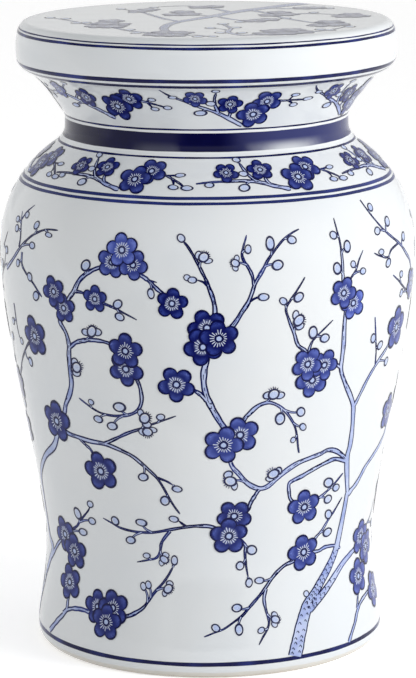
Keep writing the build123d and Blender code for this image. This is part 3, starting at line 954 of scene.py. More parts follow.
def petals(radius, rng, spokes=80):
    """Outline of round petals: the farthest of five circles round the middle, each a little different."""
    spoke = np.arange(spokes) * FULL_TURN / spokes
    middle = np.arange(PETALS) * FULL_TURN / PETALS
    out = radius * (PETAL_OUT + uneven(rng, 0.05))
    size = radius * (PETAL_SIZE + uneven(rng, 0.03))
    lean = spoke[:, None] - middle - uneven(rng, 0.14)
    reach = out * np.cos(lean) + np.sqrt(np.maximum(size**2 - (out * np.sin(lean)) ** 2, 0))
    return np.where(np.cos(lean) > 0, reach, 0).max(1)


def oval(long, short, rng, spokes=28):
    """Outline of a bud: an ellipse, drawn in a little towards its far end, with a slight random bulge."""
    spoke = np.arange(spokes) * FULL_TURN / spokes
    reach = long * short / np.hypot(short * np.cos(spoke), long * np.sin(spoke))
    return reach * (1 - 0.07 * np.cos(spoke) + 0.05 * np.sin(2 * spoke + 6.3 * rng.random()))


class Wire:
    """A socket of a shader tree. Sums of wires and numbers add Math nodes."""

    def __init__(self, finish, socket):
        self.finish, self.socket = finish, socket

    def math(self, operation, *others):
        return self.finish.node("ShaderNodeMath", {"operation": operation}, [self, *others])[0]

    def __add__(self, other):
        return self.math("ADD", other)

    def __sub__(self, other):
        return self.math("SUBTRACT", other)

    def __rsub__(self, other):
        return self.finish.node("ShaderNodeMath", {"operation": "SUBTRACT"}, [other, self])[0]

    def __mul__(self, other):
        return self.math("MULTIPLY", other)

    def __truediv__(self, other):
        return self.math("DIVIDE", other)

    def __gt__(self, other):
        return self.math("GREATER_THAN", other)

    __radd__, __rmul__ = __add__, __mul__

    def step(self, low, high):
        """A smooth rise from 0 at low to 1 at high; from 1 to 0 where low is above high."""
        inputs = {"Value": self, "From Min": low, "From Max": high}
        return self.finish.node("ShaderNodeMapRange", {"interpolation_type": "SMOOTHSTEP"}, inputs)[0]


class Finish:
    """A material or a world being written: adds nodes, and joins wires and values to their sockets."""

    def __init__(self, owner):
        self.material = bpy.data.materials.new(owner) if isinstance(owner, str) else owner
        self.material.use_nodes = True
        self.tree = self.material.node_tree
        self.tree.nodes.clear()

    def node(self, kind, settings=None, inputs=None):
        """Adds a node of a kind, sets it up, fills its sockets by place or by name, and gives its outputs."""
        made = self.tree.nodes.new(kind)
        for key, value in (settings or {}).items():
            setattr(made, key, value)
        pairs = enumerate(inputs) if isinstance(inputs, (list, tuple)) else (inputs or {}).items()
        for key, value in pairs:
            socket = made.inputs[key]
            if isinstance(value, Wire):
                self.tree.links.new(value.socket, socket)
            elif socket.type == "RGBA":
                socket.default_value = (*value[:3], 1)
            else:
                socket.default_value = value
        return [Wire(self, out) for out in made.outputs]

    def parts(self, vector):
        """The three parts of a vector."""
        return self.node("ShaderNodeSeparateXYZ", None, [vector])

    def spot(self):
        """Object coordinates: the vector, and its three parts."""
        vector = self.node("ShaderNodeTexCoord")[3]
        return vector, *self.parts(vector)

    def light_path(self):
        """Whether a ray comes from the camera, off a glossy surface or through a clear one: 0 or 1 each."""
        outputs = self.node("ShaderNodeLightPath")
        return outputs[0], outputs[3], outputs[6]

    def noise(self, vector, scale, detail=2.0):
        """Cloudy noise from 0 to 1 at a scale in marks to the metre, or to the whole UV square."""
        inputs = {"Vector": vector, "Scale": scale, "Detail": detail}
        return self.node("ShaderNodeTexNoise", None, inputs)[0]

    def mix(self, share, first, second):
        """Goes from the first colour to the second with the share. A Mix node takes them at 6 and 7."""
        settings = {"data_type": "RGBA", "clamp_factor": True}
        return self.node("ShaderNodeMix", settings, {0: share, 6: first, 7: second})[2]

    def bump(self, height, strength, distance):
        """A normal bent by a height."""
        inputs = {"Strength": strength, "Distance": distance, "Height": height}
        return self.node("ShaderNodeBump", None, inputs)[0]

    def ended(self, inputs):
        """The finished material: one Principled shader with the given inputs."""
        shader = self.node("ShaderNodeBsdfPrincipled", None, inputs)[0]
        self.node("ShaderNodeOutputMaterial", None, {"Surface": shader})
        return self.material

    def under_glaze(self, base, gloss, roughness=0.07):
        """Ends the material: a colour seen through clear glaze, whose skin is a little uneven."""
        vector = self.spot()[0]
        swell, skin = self.noise(vector, 22.0, 1.0), self.noise(vector, 240.0, 2.0)
        bump = self.bump(swell + skin * 0.035, strength=0.16, distance=1.2 * MM)
        rough = roughness + self.noise(vector, 60.0, 3.0) * 0.05
        return self.ended({"Base Color": base, "Roughness": rough, "IOR": gloss, "Normal": bump})


def cloudy_white(f, paint, vector):
    """White glaze, faintly cloudy and cooler where it pools."""
    white = np.array(paint.white)
    pooled = f.noise(vector, 14.0, 3.0).step(0.35, 0.7)
    return f.mix(pooled, white, white * (0.975, 0.985, 1.0))


def white_glaze(paint):
    """Clear glaze on white clay, with a few tiny iron specks: dots in about one of fourteen cells."""
    f = Finish("white glaze")
    vector = f.spot()[0]
    base = cloudy_white(f, paint, vector)
    cells = f.node("ShaderNodeTexVoronoi", {"feature": "F1"}, {"Vector": vector, "Scale": 34.0})
    rare = f.parts(cells[1])[0] > 0.93
    speck = cells[0].step(0.022, 0.012) * rare
    iron = (0.16, 0.14, 0.13)
    return f.under_glaze(f.mix(speck * 0.75, base, iron), WHITE_GLOSS)


def foot_glaze(paint):
    """White glaze, wiped off near the floor, where cream clay shows and darkens at the standing edge."""
    f = Finish("foot glaze")
    vector, _, _, z = f.spot()
    edge = z + (f.noise(vector, 120.0, 2.0) - 0.5) * (1.6 * MM)
    standing = np.array(paint.clay) * (1.1, 1.16, 1.25)
    wiped = (0.745, 0.725, 0.67)
    cream = f.mix(edge.step(1.0 * MM, 3.2 * MM), standing, wiped)
    base = cloudy_white(f, paint, vector)
    return f.under_glaze(f.mix(edge.step(4.2 * MM, 5.6 * MM), cream, base), WHITE_GLOSS)


def neck_glaze(paint):
    """White glaze with a thick cobalt band between two heights.

    The band's edges waver. Its paint is paler on the right: painted sheen where the lamps light the neck.
    At its foot there, and a little on the left, it fades towards white: painted highlights of the lamps.
    """
    f = Finish("neck glaze")
    vector, x, _, z = f.spot()
    low, high, soft = paint.band_low, paint.band_high, 0.15 * MM
    edge = z + (f.noise(vector, 45.0, 2.0) - 0.5) * (0.6 * MM)
    band = edge.step(low - soft, low + soft) * edge.step(high + soft, high - soft)
    clouds = f.noise(vector, 30.0, 4.0).step(0.3, 0.75)
    thick = f.mix(clouds, paint.band, np.array(paint.band) * (1.8, 1.9, 1.7))
    # Paler cobalt on the right of the band: painted sheen where the lamps light the neck.
    thin = (x + (f.noise(vector, 18.0, 2.0) - 0.5) * 0.03).step(0.012, 0.055)
    painted_sheen_cobalt = (0.022, 0.028, 0.13)
    cobalt = f.mix(thin, thick, painted_sheen_cobalt)
    # Fading to white near the band's foot: painted highlights, strong on the right and faint on the left.
    side = x + (f.noise(vector, 70.0, 2.0) - 0.5) * 0.012
    painted_glint_right = side.step(0.024, 0.056) * side.step(0.086, 0.058) * 0.7
    painted_glint_left = side.step(-0.056, -0.040) * side.step(-0.018, -0.024) * 0.08
    near_foot = z.step(low + 7.5 * MM, low)
    cobalt = f.mix((painted_glint_right + painted_glint_left) * near_foot, cobalt, paint.white)
    return f.under_glaze(f.mix(band, paint.white, cobalt), BAND_GLOSS, roughness=0.14)


def bare_clay(paint):
    """Unglazed clay inside the stool: matt, with fine throwing lines round it and a sandy grain."""
    f = Finish("bare clay")
    vector, _, _, z = f.spot()
    lines = (z * 1400.0 + f.noise(vector, 18.0) * 6.0).math("SINE")
    grain = f.noise(vector, 700.0, 3.0)
    clay = np.array(paint.clay)
    base = f.mix(grain.step(0.3, 0.7), clay, clay * (0.86, 0.84, 0.8))
    bump = f.bump(lines * 0.4 + grain, strength=0.4, distance=0.6 * MM)
    return f.ended({"Base Color": base, "Roughness": 0.82, "Normal": bump})


def brush_ink(paint, name="brush ink", thick=None):
    """Dark outline blue, bluer where the brush ran dry; thick is the ink's colour where it didn't."""
    f = Finish(name)
    dry = f.noise(f.spot()[0], 38.0, 3.0).step(0.42, 0.78)
    return f.under_glaze(f.mix(dry * 0.65, thick or paint.ink, paint.cobalt), PAINT_GLOSS)


def brush_wash(paint, name="brush wash", share=1.0):
    """Pale blue wash, streaked and pooled from pale to a stronger blue; a share below 1 darkens it."""
    f = Finish(name)
    vector = f.spot()[0]
    wash = np.array(paint.wash) * share
    pooled = f.noise(vector, 55.0, 3.0).step(0.3, 0.75)
    streak = f.noise(vector, 210.0, 2.0).step(0.35, 0.8)
    base = f.mix(pooled, wash * (1.25, 1.2, 1.08), wash * (0.62, 0.68, 0.88))
    return f.under_glaze(f.mix(streak * 0.4, base, np.minimum(wash * 1.5, 0.85)), PAINT_GLOSS)


def tile_disc(f):
    """Place in a tile of the painting: share of the radius, turns round the middle, column, row, the UV."""
    uv = f.node("ShaderNodeUVMap", {"uv_map": "Painting"})[0]
    u, v, _ = f.parts(uv)
    u, v = u * TILES, v * TILES
    column, row = u.math("FLOOR"), v.math("FLOOR")
    x, y = (u - column - 0.5) / DISC, (v - row - 0.5) / DISC
    radius = (x * x + y * y).math("SQRT")
    return radius, y.math("ARCTAN2", x) * (1 / FULL_TURN), column, row, uv


def petal_place(radius, turn):
    """How far out a point of a blossom is, and its distance from its petal's middle in petal radii.

    Lean is the angle from the petal's middle line. A disc radius of 1 stands for the far side of the petal's
    circle at that angle.
    """
    lean = ((turn * PETALS + 0.5).math("FRACT") - 0.5) * (FULL_TURN / PETALS)
    side, ahead = lean.math("SINE"), lean.math("COSINE")
    off = side * PETAL_OUT
    far = radius * (ahead * PETAL_OUT + (PETAL_SIZE**2 - off * off).math("MAXIMUM", 0.0).math("SQRT"))
    x, y = far * ahead - PETAL_OUT, far * side
    return far, (x * x + y * y).math("SQRT") / PETAL_SIZE


def stamens(f, far, turn, column, row):
    """Lashes of uneven length round a blossom's eye: 1 on a lash and 0 beside it."""
    lash = turn * STAMENS + column * 0.37
    seed = lash.math("FLOOR") + row * 23.0 + column * 5.0
    tip = f.node("ShaderNodeTexWhiteNoise", {"noise_dimensions": "1D"}, {"W": seed})[0] * 0.16 + 0.36
    aside = ((lash.math("FRACT") - 0.5).math("ABSOLUTE") * far) * (FULL_TURN / STAMENS)
    return aside.step(0.030, 0.012) * far.step(0.22, 0.26) * (tip - far).step(-0.02, 0.015)


def blossom_paint(paint):
    """Five petals: each a circle with a dark outline and paler paint brushed out from its base.

    Rows of tiles go from thick dark paint to thin bright paint. White stamens of uneven length stand round a
    dark ring with a pale eye.
    """
    f = Finish("blossom paint")
    radius, turn, column, row, uv = tile_disc(f)
    hand = f.noise(uv, 26.0, 3.0) - 0.5
    streak = f.noise(uv, 95.0, 2.0) - 0.5
    far, edge = petal_place(radius, turn)
    edge = edge + hand * 0.14
    thin = (row / (TILES - 1.0)).math("POWER", 1.5)
    cobalt, bright = np.array(paint.cobalt), np.array(paint.bright)
    dark = f.mix(thin, paint.deep, cobalt * (1.6, 1.5, 1.25))
    pale = f.mix(thin, cobalt, bright)
    brushed = (edge + hand * 0.8 + streak * 0.9).step(0.92, 0.36) * (far + hand * 0.25).step(0.50, 0.90)
    fill = f.mix(brushed, dark, pale)
    gleam = (brushed * f.noise(uv, 17.0, 1.0)).step(0.40, 0.75) * (0.25 + thin * 0.5)
    fill = f.mix(gleam, fill, bright * (1.35, 1.3, 1.15))
    pale_heart = (far + hand * 0.1).step(0.50, 0.36) * column.math("MODULO", 2.0) * 0.25
    fill = f.mix(pale_heart, fill, paint.wash)
    seam = edge.step(0.81, 0.945) * far.step(0.28, 0.45) * 0.95
    rim = (radius + hand * 0.06).step(0.865, 0.92)
    fill = f.mix(seam.math("MAXIMUM", rim), fill, paint.ink)
    dark_ring = far.step(0.36, 0.22) * 0.9
    fill = f.mix(dark_ring, fill, paint.ink)
    stamen_white, eye_blue = (0.68, 0.74, 0.90), (0.45, 0.54, 0.80)
    fill = f.mix(stamens(f, far, turn, column, row) * 0.92, fill, stamen_white)
    eye = (far + hand * 0.03).step(0.14, 0.11)
    return f.under_glaze(f.mix(eye, fill, eye_blue), PAINT_GLOSS)


def bud_paint(paint):
    """Bud: dark outline, a sliver of white left bare on one side, and pale blue in its heart."""
    f = Finish("bud paint")
    radius, turn, column, _, uv = tile_disc(f)
    hand = f.noise(uv, 24.0, 3.0) - 0.5
    bare_side = (turn * FULL_TURN - 0.7).math("COSINE")
    heart = (radius + hand * 0.3 + bare_side * 0.16).step(0.80, 0.60)
    wash = np.array(paint.wash)
    pooled = f.noise(uv, 40.0, 3.0).step(0.35, 0.75)
    tint = f.mix(pooled, np.minimum(wash * 1.3, 0.85), wash * (0.82, 0.86, 0.96))
    fill = f.mix(heart * (0.76 + column * 0.08), paint.white, tint)
    line = (radius + hand * 0.10).step(0.62, 0.73)
    return f.under_glaze(f.mix(line * 0.97, fill, paint.ink), PAINT_GLOSS)


def spray_paints(paint, wash):
    """The paint for each kind of mark in a spray."""
    return {
        "branch_lines": brush_ink(paint),
        "branch_wash": wash,
        "buds": bud_paint(paint),
        "blossoms": blossom_paint(paint),
    }


class StoolStep(bpy.types.Operator):
    """Common ground of the steps: outline, form, paint and camera from the scene's settings."""

    bl_options = {"REGISTER", "UNDO"}

    def setting(self, context):
        scene = context.scene
        return Outline(scene.stool_form), scene.stool_form, scene.stool_paint, Camera(scene.stool_stage)


def section_table(outline, form):
    """Each section's ends along the run, the step between its rings, and its inside as radius and height.

    Inside, the body and the shoulder have the outside's curve, moved in by the wall.
    """
    f, o, wall = form, outline, form.wall
    waist, middle, belly, neck, collar, rim = (
        o.run_at(height) for height in (o.waist_z, o.middle_z, o.belly_z, o.neck_z, o.collar_z, o.rim_z)
    )
    seat_middle = o.run[-1]
    seat_joint = seat_middle - f.plate
    inner_neck, inner_collar = f.neck - wall, f.collar_top - f.collar_top_wall
    lap, boss = f.collar_top - f.collar_top_wall / 2, f.plate - f.ledge_width
    ledge_z = o.seat_z - f.plate_thickness
    ledge_foot, boss_foot = ledge_z - f.ledge_thickness, ledge_z - f.boss_thickness
    collar_lap = (lap, o.rim_z)
    lowered = (wall, wall, 0, 0)
    inner_shoulder = [(r, z - drop) for (r, z), drop in zip(inset(o.curves["shoulder"], wall), lowered)]
    collar_top = (inner_collar, o.rim_z)
    collar_foot = [(inner_neck, o.collar_z + PULLS["collar_low"][1] * MM), (inner_neck, o.collar_z)]
    inside = {
        "base_ring": [(f.waist - wall, o.waist_z), (f.foot_base - f.foot_land, 0)],
        "body_lower": bezier(inset(o.curves["lower"], wall), 14),
        "body_upper": bezier(inset(o.curves["upper"], wall), 14),
        "shoulder_ring": np.vstack([[(inner_neck, o.neck_z)], bezier(inner_shoulder, 14)]),
        "neck_ring": [(inner_neck, o.collar_z), (inner_neck, o.neck_z)],
        "seat_collar": bezier([collar_top, pulled(collar_top, "collar_high"), *collar_foot], 10),
        "seat_rim": [(f.plate, ledge_z), (boss, ledge_z), (boss, ledge_foot), (lap, ledge_foot), collar_lap],
        "seat_plate": [(0, boss_foot), (boss, boss_foot), (boss, ledge_z), (f.plate, ledge_z)],
    }
    joints = [0, waist, middle, belly, neck, collar, rim, seat_joint, seat_middle]
    steps = [2.5 * MM, 4 * MM, 4 * MM, 1.5 * MM, 0.8 * MM, 1.2 * MM, 0.8 * MM, 8 * MM]
    return [(node, *row, inside[node]) for node, *row in zip(inside, joints, joints[1:], steps)]


class STOOL_OT_sections(StoolStep):
    """Turns the eight glazed sections"""

    bl_idname = "garden_stool.sections"
    bl_label = "Sections"

    def execute(self, context):
        outline, form, paint, _ = self.setting(context)
        glaze, clay = white_glaze(paint), bare_clay(paint)
        own_glaze = {"base_ring": foot_glaze(paint), "neck_ring": neck_glaze(paint)}
        for node, low, high, step, inside in section_table(outline, form):
            run = np.linspace(low, high, max(3, int((high - low) / step)) + 1)
            radius, height, out, up = outline.at(run)
            # The rounded outline ends a hair off the floor and off the axis.
            if node == "base_ring":
                height[0] = 0
            if node == "seat_plate":
                radius[-1] = 0
            section = np.vstack([np.stack([radius, height], 1), inside])
            name, normals = node + "_glazed", unit(np.stack([out, up], 1))
            mesh = turned_piece(name, section, normals, inside_from=len(run) - 1)
            slot = "cobalt_glaze" if node == "neck_ring" else "white_glaze"
            put_in_scene(name, mesh, [own_glaze.get(node, glaze), clay], [node])
        return {"FINISHED"}


class STOOL_OT_rings(StoolStep):
    """Paints the rings round the foot, shoulder, neck and rim"""

    bl_idname = "garden_stool.rings"
    bl_label = "Painted rings"

    def execute(self, context):
        outline, _, paint, _ = self.setting(context)
        rng = np.random.default_rng(11)
        turn = np.arange(RING_FACES) * FULL_TURN / RING_FACES
        across = np.linspace(1, 0, 4)[:, None]
        waves, waver = np.array([3, 5, 8, 13, 21]), 0.05 * MM
        for name, rings, ink in (
            ("painted_rings", RINGS, brush_ink(paint)),
            ("shoulder_painted_rings", SHOULDER_RINGS, brush_ink(paint, "thin ink", paint.thin)),
        ):
            coat = Coat()
            for edges in rings.values():
                low, high = outline.run_at(np.array(edges) * MM)
                phase = rng.random((2, len(waves))) * FULL_TURN
                low_waver, high_waver = waver * np.sin(turn[None, :, None] * waves + phase[:, None]).sum(2)
                run = (low + low_waver) * (1 - across) + (high + high_waver) * across
                uv = np.stack(np.broadcast_arrays(turn / FULL_TURN, across), -1)
                coat.patch(outline.place(turn, run, paint.coat), uv, wrap=True)
            coat.make(name, ink)
        return {"FINISHED"}


class Spray:
    """Paints branches, buds and blossoms of one spray on a surface, from pixels.

    Thick below 1 lays the paint thinner. Branches left of a pixel column have heavier outlines: partly a
    heavier hand, partly painted shade.
    """

    def __init__(self, surface, paint, to_surface, seed, thick=1.0, inky_left_of=-math.inf):
        self.surface, self.paint, self.to_surface = surface, paint, to_surface
        self.thick, self.inky_left_of = thick, inky_left_of
        self.rng = np.random.default_rng(seed)
        self.lines, self.washes = Coat(), Coat()
        self.buds, self.blossoms = Coat(("Painting", "OFBake")), Coat(("Painting", "OFBake"))
        self.paths, self.laid = [], 0

    def lay(self, branches, buds, blossoms, opening_buds=()):
        """Paints every mark of the spray, branches first."""
        for branch in branches.values():
            self.branch(*branch)
        for bud in buds:
            self.bud(*bud)
        for bud in opening_buds:
            self.opening_bud(*bud)
        for blossom in blossoms:
            self.blossom(*blossom)

    def make(self, name, paints, turns=(0,)):
        """One piece for each kind of mark, set round the axis at each turn in degrees."""
        for (kind, paint), coat in zip(paints.items(), (self.lines, self.washes, self.buds, self.blossoms)):
            coat.make(f"{name}_{kind}", paint, turns)

    def rise(self, lift):
        """A mark's height above the glaze: a hair off the marks before it, so that no plane is shared."""
        self.laid += 1
        return (self.paint.coat + HAIR_LIFT * (self.laid % HAIR_LIFTS) + lift) * self.thick

    def slant(self, place):
        """How much wider a pixel is on the surface than it looks, as the surface turns away to the side."""
        where, scale = self.to_surface(place + [(-0.5, 0), (0.5, 0)])
        return (where[1, 0] - where[0, 0]) * self.surface.width(where[:1, 1])[0] / scale[0]

    def stroke(self, coat, path, half_pixels, lift, trim=0.0):
        """A stroke along a pixel path; half its width is in pixels, less a trim in metres."""
        too_thin, thinnest = 0.12 * MM, 0.02 * MM
        where, scale = self.to_surface(path)
        half = half_pixels * scale - trim
        if half.max() >= too_thin:
            ribbon(coat, self.surface, where, np.maximum(half, thinnest), self.rise(lift))

    def branch(self, start, end, points):
        """A branch: a dark stroke, a pale wash inside it, dashes along the wash, and scales on a trunk."""
        path = smooth_path(points)
        count = len(path)
        wobble = wander(count, self.rng, 0.18 if start < TRUNK_WIDTH else 0.05)
        half = 0.5 * np.linspace(start + OUTLINE_START, end + OUTLINE_END, count) * (1 + wobble)
        half[-3:] *= [0.95, 0.8, 0.55]
        # Heavier outlines on the left of the body: partly painted shade.
        ink_and_shade = self.paint.ink_and_shade if np.mean(points, 0)[0] < self.inky_left_of else 1.0
        self.stroke(self.lines, path, half, 0)
        self.stroke(self.washes, path, half, WASH_LIFT, self.paint.line * ink_and_shade)
        self.paths.append(path if start >= end else path[::-1])
        ahead = unit(np.gradient(path, axis=0))
        side = np.stack([-ahead[:, 1], ahead[:, 0]], 1)
        step = mean_step(path)
        for i in range(2, count - 3, max(2, round(DASH_SPACING / step))):
            if self.slant(path[i]) > HIDING_SLANT:
                continue
            if half[i] > BARK_FROM:
                self.bark_scales(path[i], side[i], ahead[i], half[i])
            elif half[i] > DASH_FROM and self.rng.random() < DASH_CHANCE:
                run = path[i : i + 2 + round((DASH_SHORTEST + DASH_LONGER * self.rng.random()) / step)]
                dash = run + side[i] * half[i] * (0.7 * self.rng.random() - 0.35)
                self.stroke(self.lines, dash, np.linspace(0.45, 0.28, len(dash)), BARK_LIFT)

    def bark_scales(self, middle, side, ahead, half):
        """Two small arcs across a trunk, one on each side of its middle, each a little out of line."""
        draw = self.rng.random
        for hand in (-1, 1):
            place = middle + side * (half - 1.5) * (hand * 0.42 + 0.16 * draw() - 0.08)
            place = place + ahead * (1.7 * hand + 1.2 * draw())
            wide = (1.1 + 0.4 * draw()) * side
            tall = (1.3 + 0.5 * draw()) * ahead
            arc = [place - wide - 0.4 * tall, place - wide * 0.3 + tall, place + wide - 0.2 * tall]
            scale = smooth_path(arc, 0.7)
            self.stroke(self.lines, scale, np.linspace(0.24, 0.6, len(scale)), BARK_LIFT)

    def root(self, place):
        """Two points of the nearest branch: where a stem to a place leaves it, and the one nearest to it."""
        gaps = [np.linalg.norm(path - place, axis=1) for path in self.paths]
        nearest = int(np.argmin([gap.min() for gap in gaps]))
        path, gap = self.paths[nearest], gaps[nearest]
        i = int(gap.argmin())
        at_tip = i > len(path) - 3
        back = 0 if at_tip else round(0.9 * gap[i] / mean_step(path))
        return path[max(0, i - back)], path[i]

    def stem(self, place):
        """A thin stem that leaves its branch at a slant and bends out to the place; gives its direction."""
        root, near = self.root(place)
        gap = np.linalg.norm(place - root)
        if gap > SHORTEST_STEM:
            path = smooth_path([root, 0.4 * root + 0.4 * place + 0.2 * near, place], 1.0)
            half = np.linspace(STEM_FOOT, STEM_TIP, len(path))
            self.stroke(self.lines, path, half, STEM_LIFT)
            self.stroke(self.washes, path, half, STEM_WASH_LIFT, 0.7 * self.paint.line)
        up_right = np.array([0.6, -0.8])
        return unit(place - root) if gap > 0.1 else up_right

    def bud(self, x, y, wide, high, layer=0, stem=True):
        """A bud: an oval leaning as its stem does, so far that it fills its width and height.

        The sum of the squares of width and height gives the oval's half axes, and their difference its lean.
        """
        place = np.array([x, y], float)
        away = self.stem(place) if stem else unit(place - self.root(place)[0] + 1e-6)
        where, scale = self.to_surface(place[None])
        wide *= np.clip(self.slant(place), 1, MOST_WIDENED)
        stretch = max(wide / high, high / wide, LEAST_STRETCH)
        short = OVAL_HALF * math.sqrt((wide**2 + high**2) / (1 + stretch**2))
        long = short * stretch
        level = OVAL_LEVEL * (wide**2 - high**2) / (long**2 - short**2)
        lean = 0.5 * math.acos(min(1.0, max(-1.0, level)))
        tilt = lean if away[0] * away[1] <= 0 else math.pi - lean
        if math.cos(tilt) * away[0] - math.sin(tilt) * away[1] < 0:
            tilt += math.pi
        reach = oval(long, short, self.rng) * scale[0]
        lift = self.rise(BUD_LIFT + LAYER_LIFT * layer)
        tile = int(self.rng.integers(TILES * TILES))
        round_patch(self.buds, self.surface, where[0], reach, lift, tile, tilt, rings=3)

    def opening_bud(self, x, y, wide, high, side):
        """An opening bud: a round heart between two petals, with short lashes along its outer side."""
        place = np.array([x, y], float)
        out = np.array([math.cos(math.radians(side)), -math.sin(math.radians(side))])
        cross = np.array([-out[1], out[0]])
        size = (wide + high) / 4
        self.stem(place)
        for hand in (-1, 1):
            near = place + hand * cross * size * (0.95 + 0.15 * self.rng.random()) - out * size * 0.2
            petal = size * (1.05 + 0.5 * abs(hand * cross + 0.6 * out))
            self.bud(*near, *petal, stem=False)
        self.bud(x, y, wide * 0.95, high * 0.95, layer=1, stem=False)
        lashes, spread = 6, 0.9
        for turn in np.linspace(-spread, spread, lashes) + 0.1 * self.rng.random(lashes):
            ray = out * math.cos(turn) + cross * math.sin(turn)
            far = size * (1.18 + 0.12 * self.rng.random())
            lash = smooth_path([place + ray * reach for reach in (size * 0.9, (size + far) / 2, far)], 0.8)
            self.stroke(self.lines, lash, np.linspace(0.45, 0.3, len(lash)), LASH_LIFT)

    def blossom(self, x, y, radius, layer, tone=1, turn=None):
        """A blossom: its paint goes from thick, tone 0, to thin, tone 3; a petal's turn is in degrees."""
        where, scale = self.to_surface(np.array([[x, y]], float))
        reach = petals(radius * BLOSSOM_OUTLINE * scale[0], self.rng)
        tilt = math.radians(360 * self.rng.random() if turn is None else turn)
        lift = self.rise(BLOSSOM_LIFT + LAYER_LIFT * layer)
        tile = TILES * tone + int(self.rng.integers(TILES))
        round_patch(self.blossoms, self.surface, where[0], reach, lift, tile, tilt, rings=6)


def paint_wall(outline, paint, camera, sprays, inky_left_of=-math.inf):
    """Paints sprays on the outside wall: each has a name, its marks, the turns it stands at and a seed."""
    paints = spray_paints(paint, brush_wash(paint))
    for name, marks, turns, seed in sprays:
        spray = Spray(
            outline, paint, lambda p: outline.from_photo(p, camera), seed, inky_left_of=inky_left_of
        )
        spray.lay(*marks)
        spray.make(name, paints, turns)


class STOOL_OT_body_painting(StoolStep):
    """Paints the plum sprays on the body"""

    bl_idname = "garden_stool.body_painting"
    bl_label = "Body painting"

    def execute(self, context):
        outline, _, paint, camera = self.setting(context)
        front = (BODY_BRANCHES, BODY_BUDS, BODY_BLOSSOMS, BODY_OPENING_BUDS)
        front_turns = np.arange(paint.body_sprays) * 360 / paint.body_sprays
        side = (BODY_SIDE_BRANCHES, BODY_SIDE_BUDS, BODY_SIDE_BLOSSOMS, BODY_SIDE_OPENING_BUDS)
        sprays = [("body", front, front_turns, 3), ("body_side", side, BODY_SIDE_TURNS, 4)]
        paint_wall(outline, paint, camera, sprays, INK_AND_SHADE_LEFT_OF)
        return {"FINISHED"}


class STOOL_OT_friezes(StoolStep):
    """Paints the sprigs round the collar and the shoulder"""

    bl_idname = "garden_stool.friezes"
    bl_label = "Friezes"

    def execute(self, context):
        outline, _, paint, camera = self.setting(context)
        collar = (COLLAR_BRANCHES, COLLAR_BUDS, COLLAR_BLOSSOMS)
        collar_side = (COLLAR_SIDE_BRANCHES, COLLAR_SIDE_BUDS, COLLAR_SIDE_BLOSSOMS)
        shoulder = (SHOULDER_BRANCHES, SHOULDER_BUDS, SHOULDER_BLOSSOMS)
        sprays = [
            ("collar", collar, COLLAR_TURNS, 5),
            ("collar_side", collar_side, COLLAR_SIDE_TURNS, 6),
            ("shoulder", shoulder, SHOULDER_TURNS, 7),
        ]
        paint_wall(outline, paint, camera, sprays)
        return {"FINISHED"}


class STOOL_OT_seat_painting(StoolStep):
    """Paints the plum branches on the seat"""

    bl_idname = "garden_stool.seat_painting"
    bl_label = "Seat painting"

    def execute(self, context):
        outline, _, paint, camera = self.setting(context)
        top = SeatTop(outline.seat_z)
        thickest = 0

        def from_above(rows, *more):
            """Rows of numbers that begin with a place, with that place as seen from above."""
            places = top.seen_from_above([row[:2] for row in rows], camera)
            return [(*place, *row[2:], *more) for place, row in zip(places, rows)]

        branches = {
            name: (start, end, from_above(points)) for name, (start, end, points) in SEAT_BRANCHES.items()
        }
        spray = Spray(top, paint, top.from_above, 9, SEAT_THICK)
        spray.lay(branches, from_above(SEAT_BUDS), from_above(SEAT_BLOSSOMS, thickest))
        # A darker wash on the seat: painted shade.
        spray.make("seat", spray_paints(paint, brush_wash(paint, "seat wash", SEAT_SHADED_WASH)))
        return {"FINISHED"}


def matrix(x, y, z, place):
    """A Blender matrix from three axes and a place."""
    return Matrix([[x[i], y[i], z[i], place[i]] for i in range(3)] + [[0, 0, 0, 1]])


def lamp(name, place, target, size, watts):
    """A softbox: a rectangular lamp at a place, turned to a target, that the glaze doesn't mirror."""
    data = bpy.data.lights.new(name, "AREA")
    data.shape, data.energy = "RECTANGLE", watts
    data.size, data.size_y = size
    made = bpy.data.objects.new(name, data)
    bpy.context.scene.collection.objects.link(made)
    ahead = unit(np.array(target, float) - place)
    right = unit(np.cross(ahead, [0, 0, 1.0]))
    made.matrix_world = matrix(right, np.cross(right, ahead), -ahead, place)
    made.visible_glossy = False


def studio_paper(name, glow):
    """White paper: takes shadows, and looks whiter to the camera and in the glaze."""
    f = Finish(name)
    camera, glossy, clear = f.light_path()
    seen = camera.math("MAXIMUM", glossy).math("MAXIMUM", clear)
    paper = f.node("ShaderNodeBsdfDiffuse", None, {"Color": (0.9, 0.9, 0.9)})[0]
    light = f.node("ShaderNodeEmission", None, {"Color": (1, 1, 1), "Strength": seen * glow})[0]
    both = f.node("ShaderNodeAddShader", None, [paper, light])[0]
    f.node("ShaderNodeOutputMaterial", None, {"Surface": both})
    return f.material


def paper_sheet(name, corner, right, up, glow):
    """A sheet of studio paper from a corner along two edges."""
    share = np.linspace(0, 1, 9)
    points = np.array(corner) + share[:, None, None] * np.array(right) + share[:, None] * np.array(up)
    faces = grid_faces(np.arange(len(share) ** 2).reshape(len(share), -1))
    mesh = bpy.data.meshes.new(name)
    mesh.from_pydata(points.reshape(-1, 3).tolist(), [], faces.tolist())
    mesh.materials.append(studio_paper(name, glow))
    made = bpy.data.objects.new(name, mesh)
    bpy.context.scene.collection.objects.link(made)


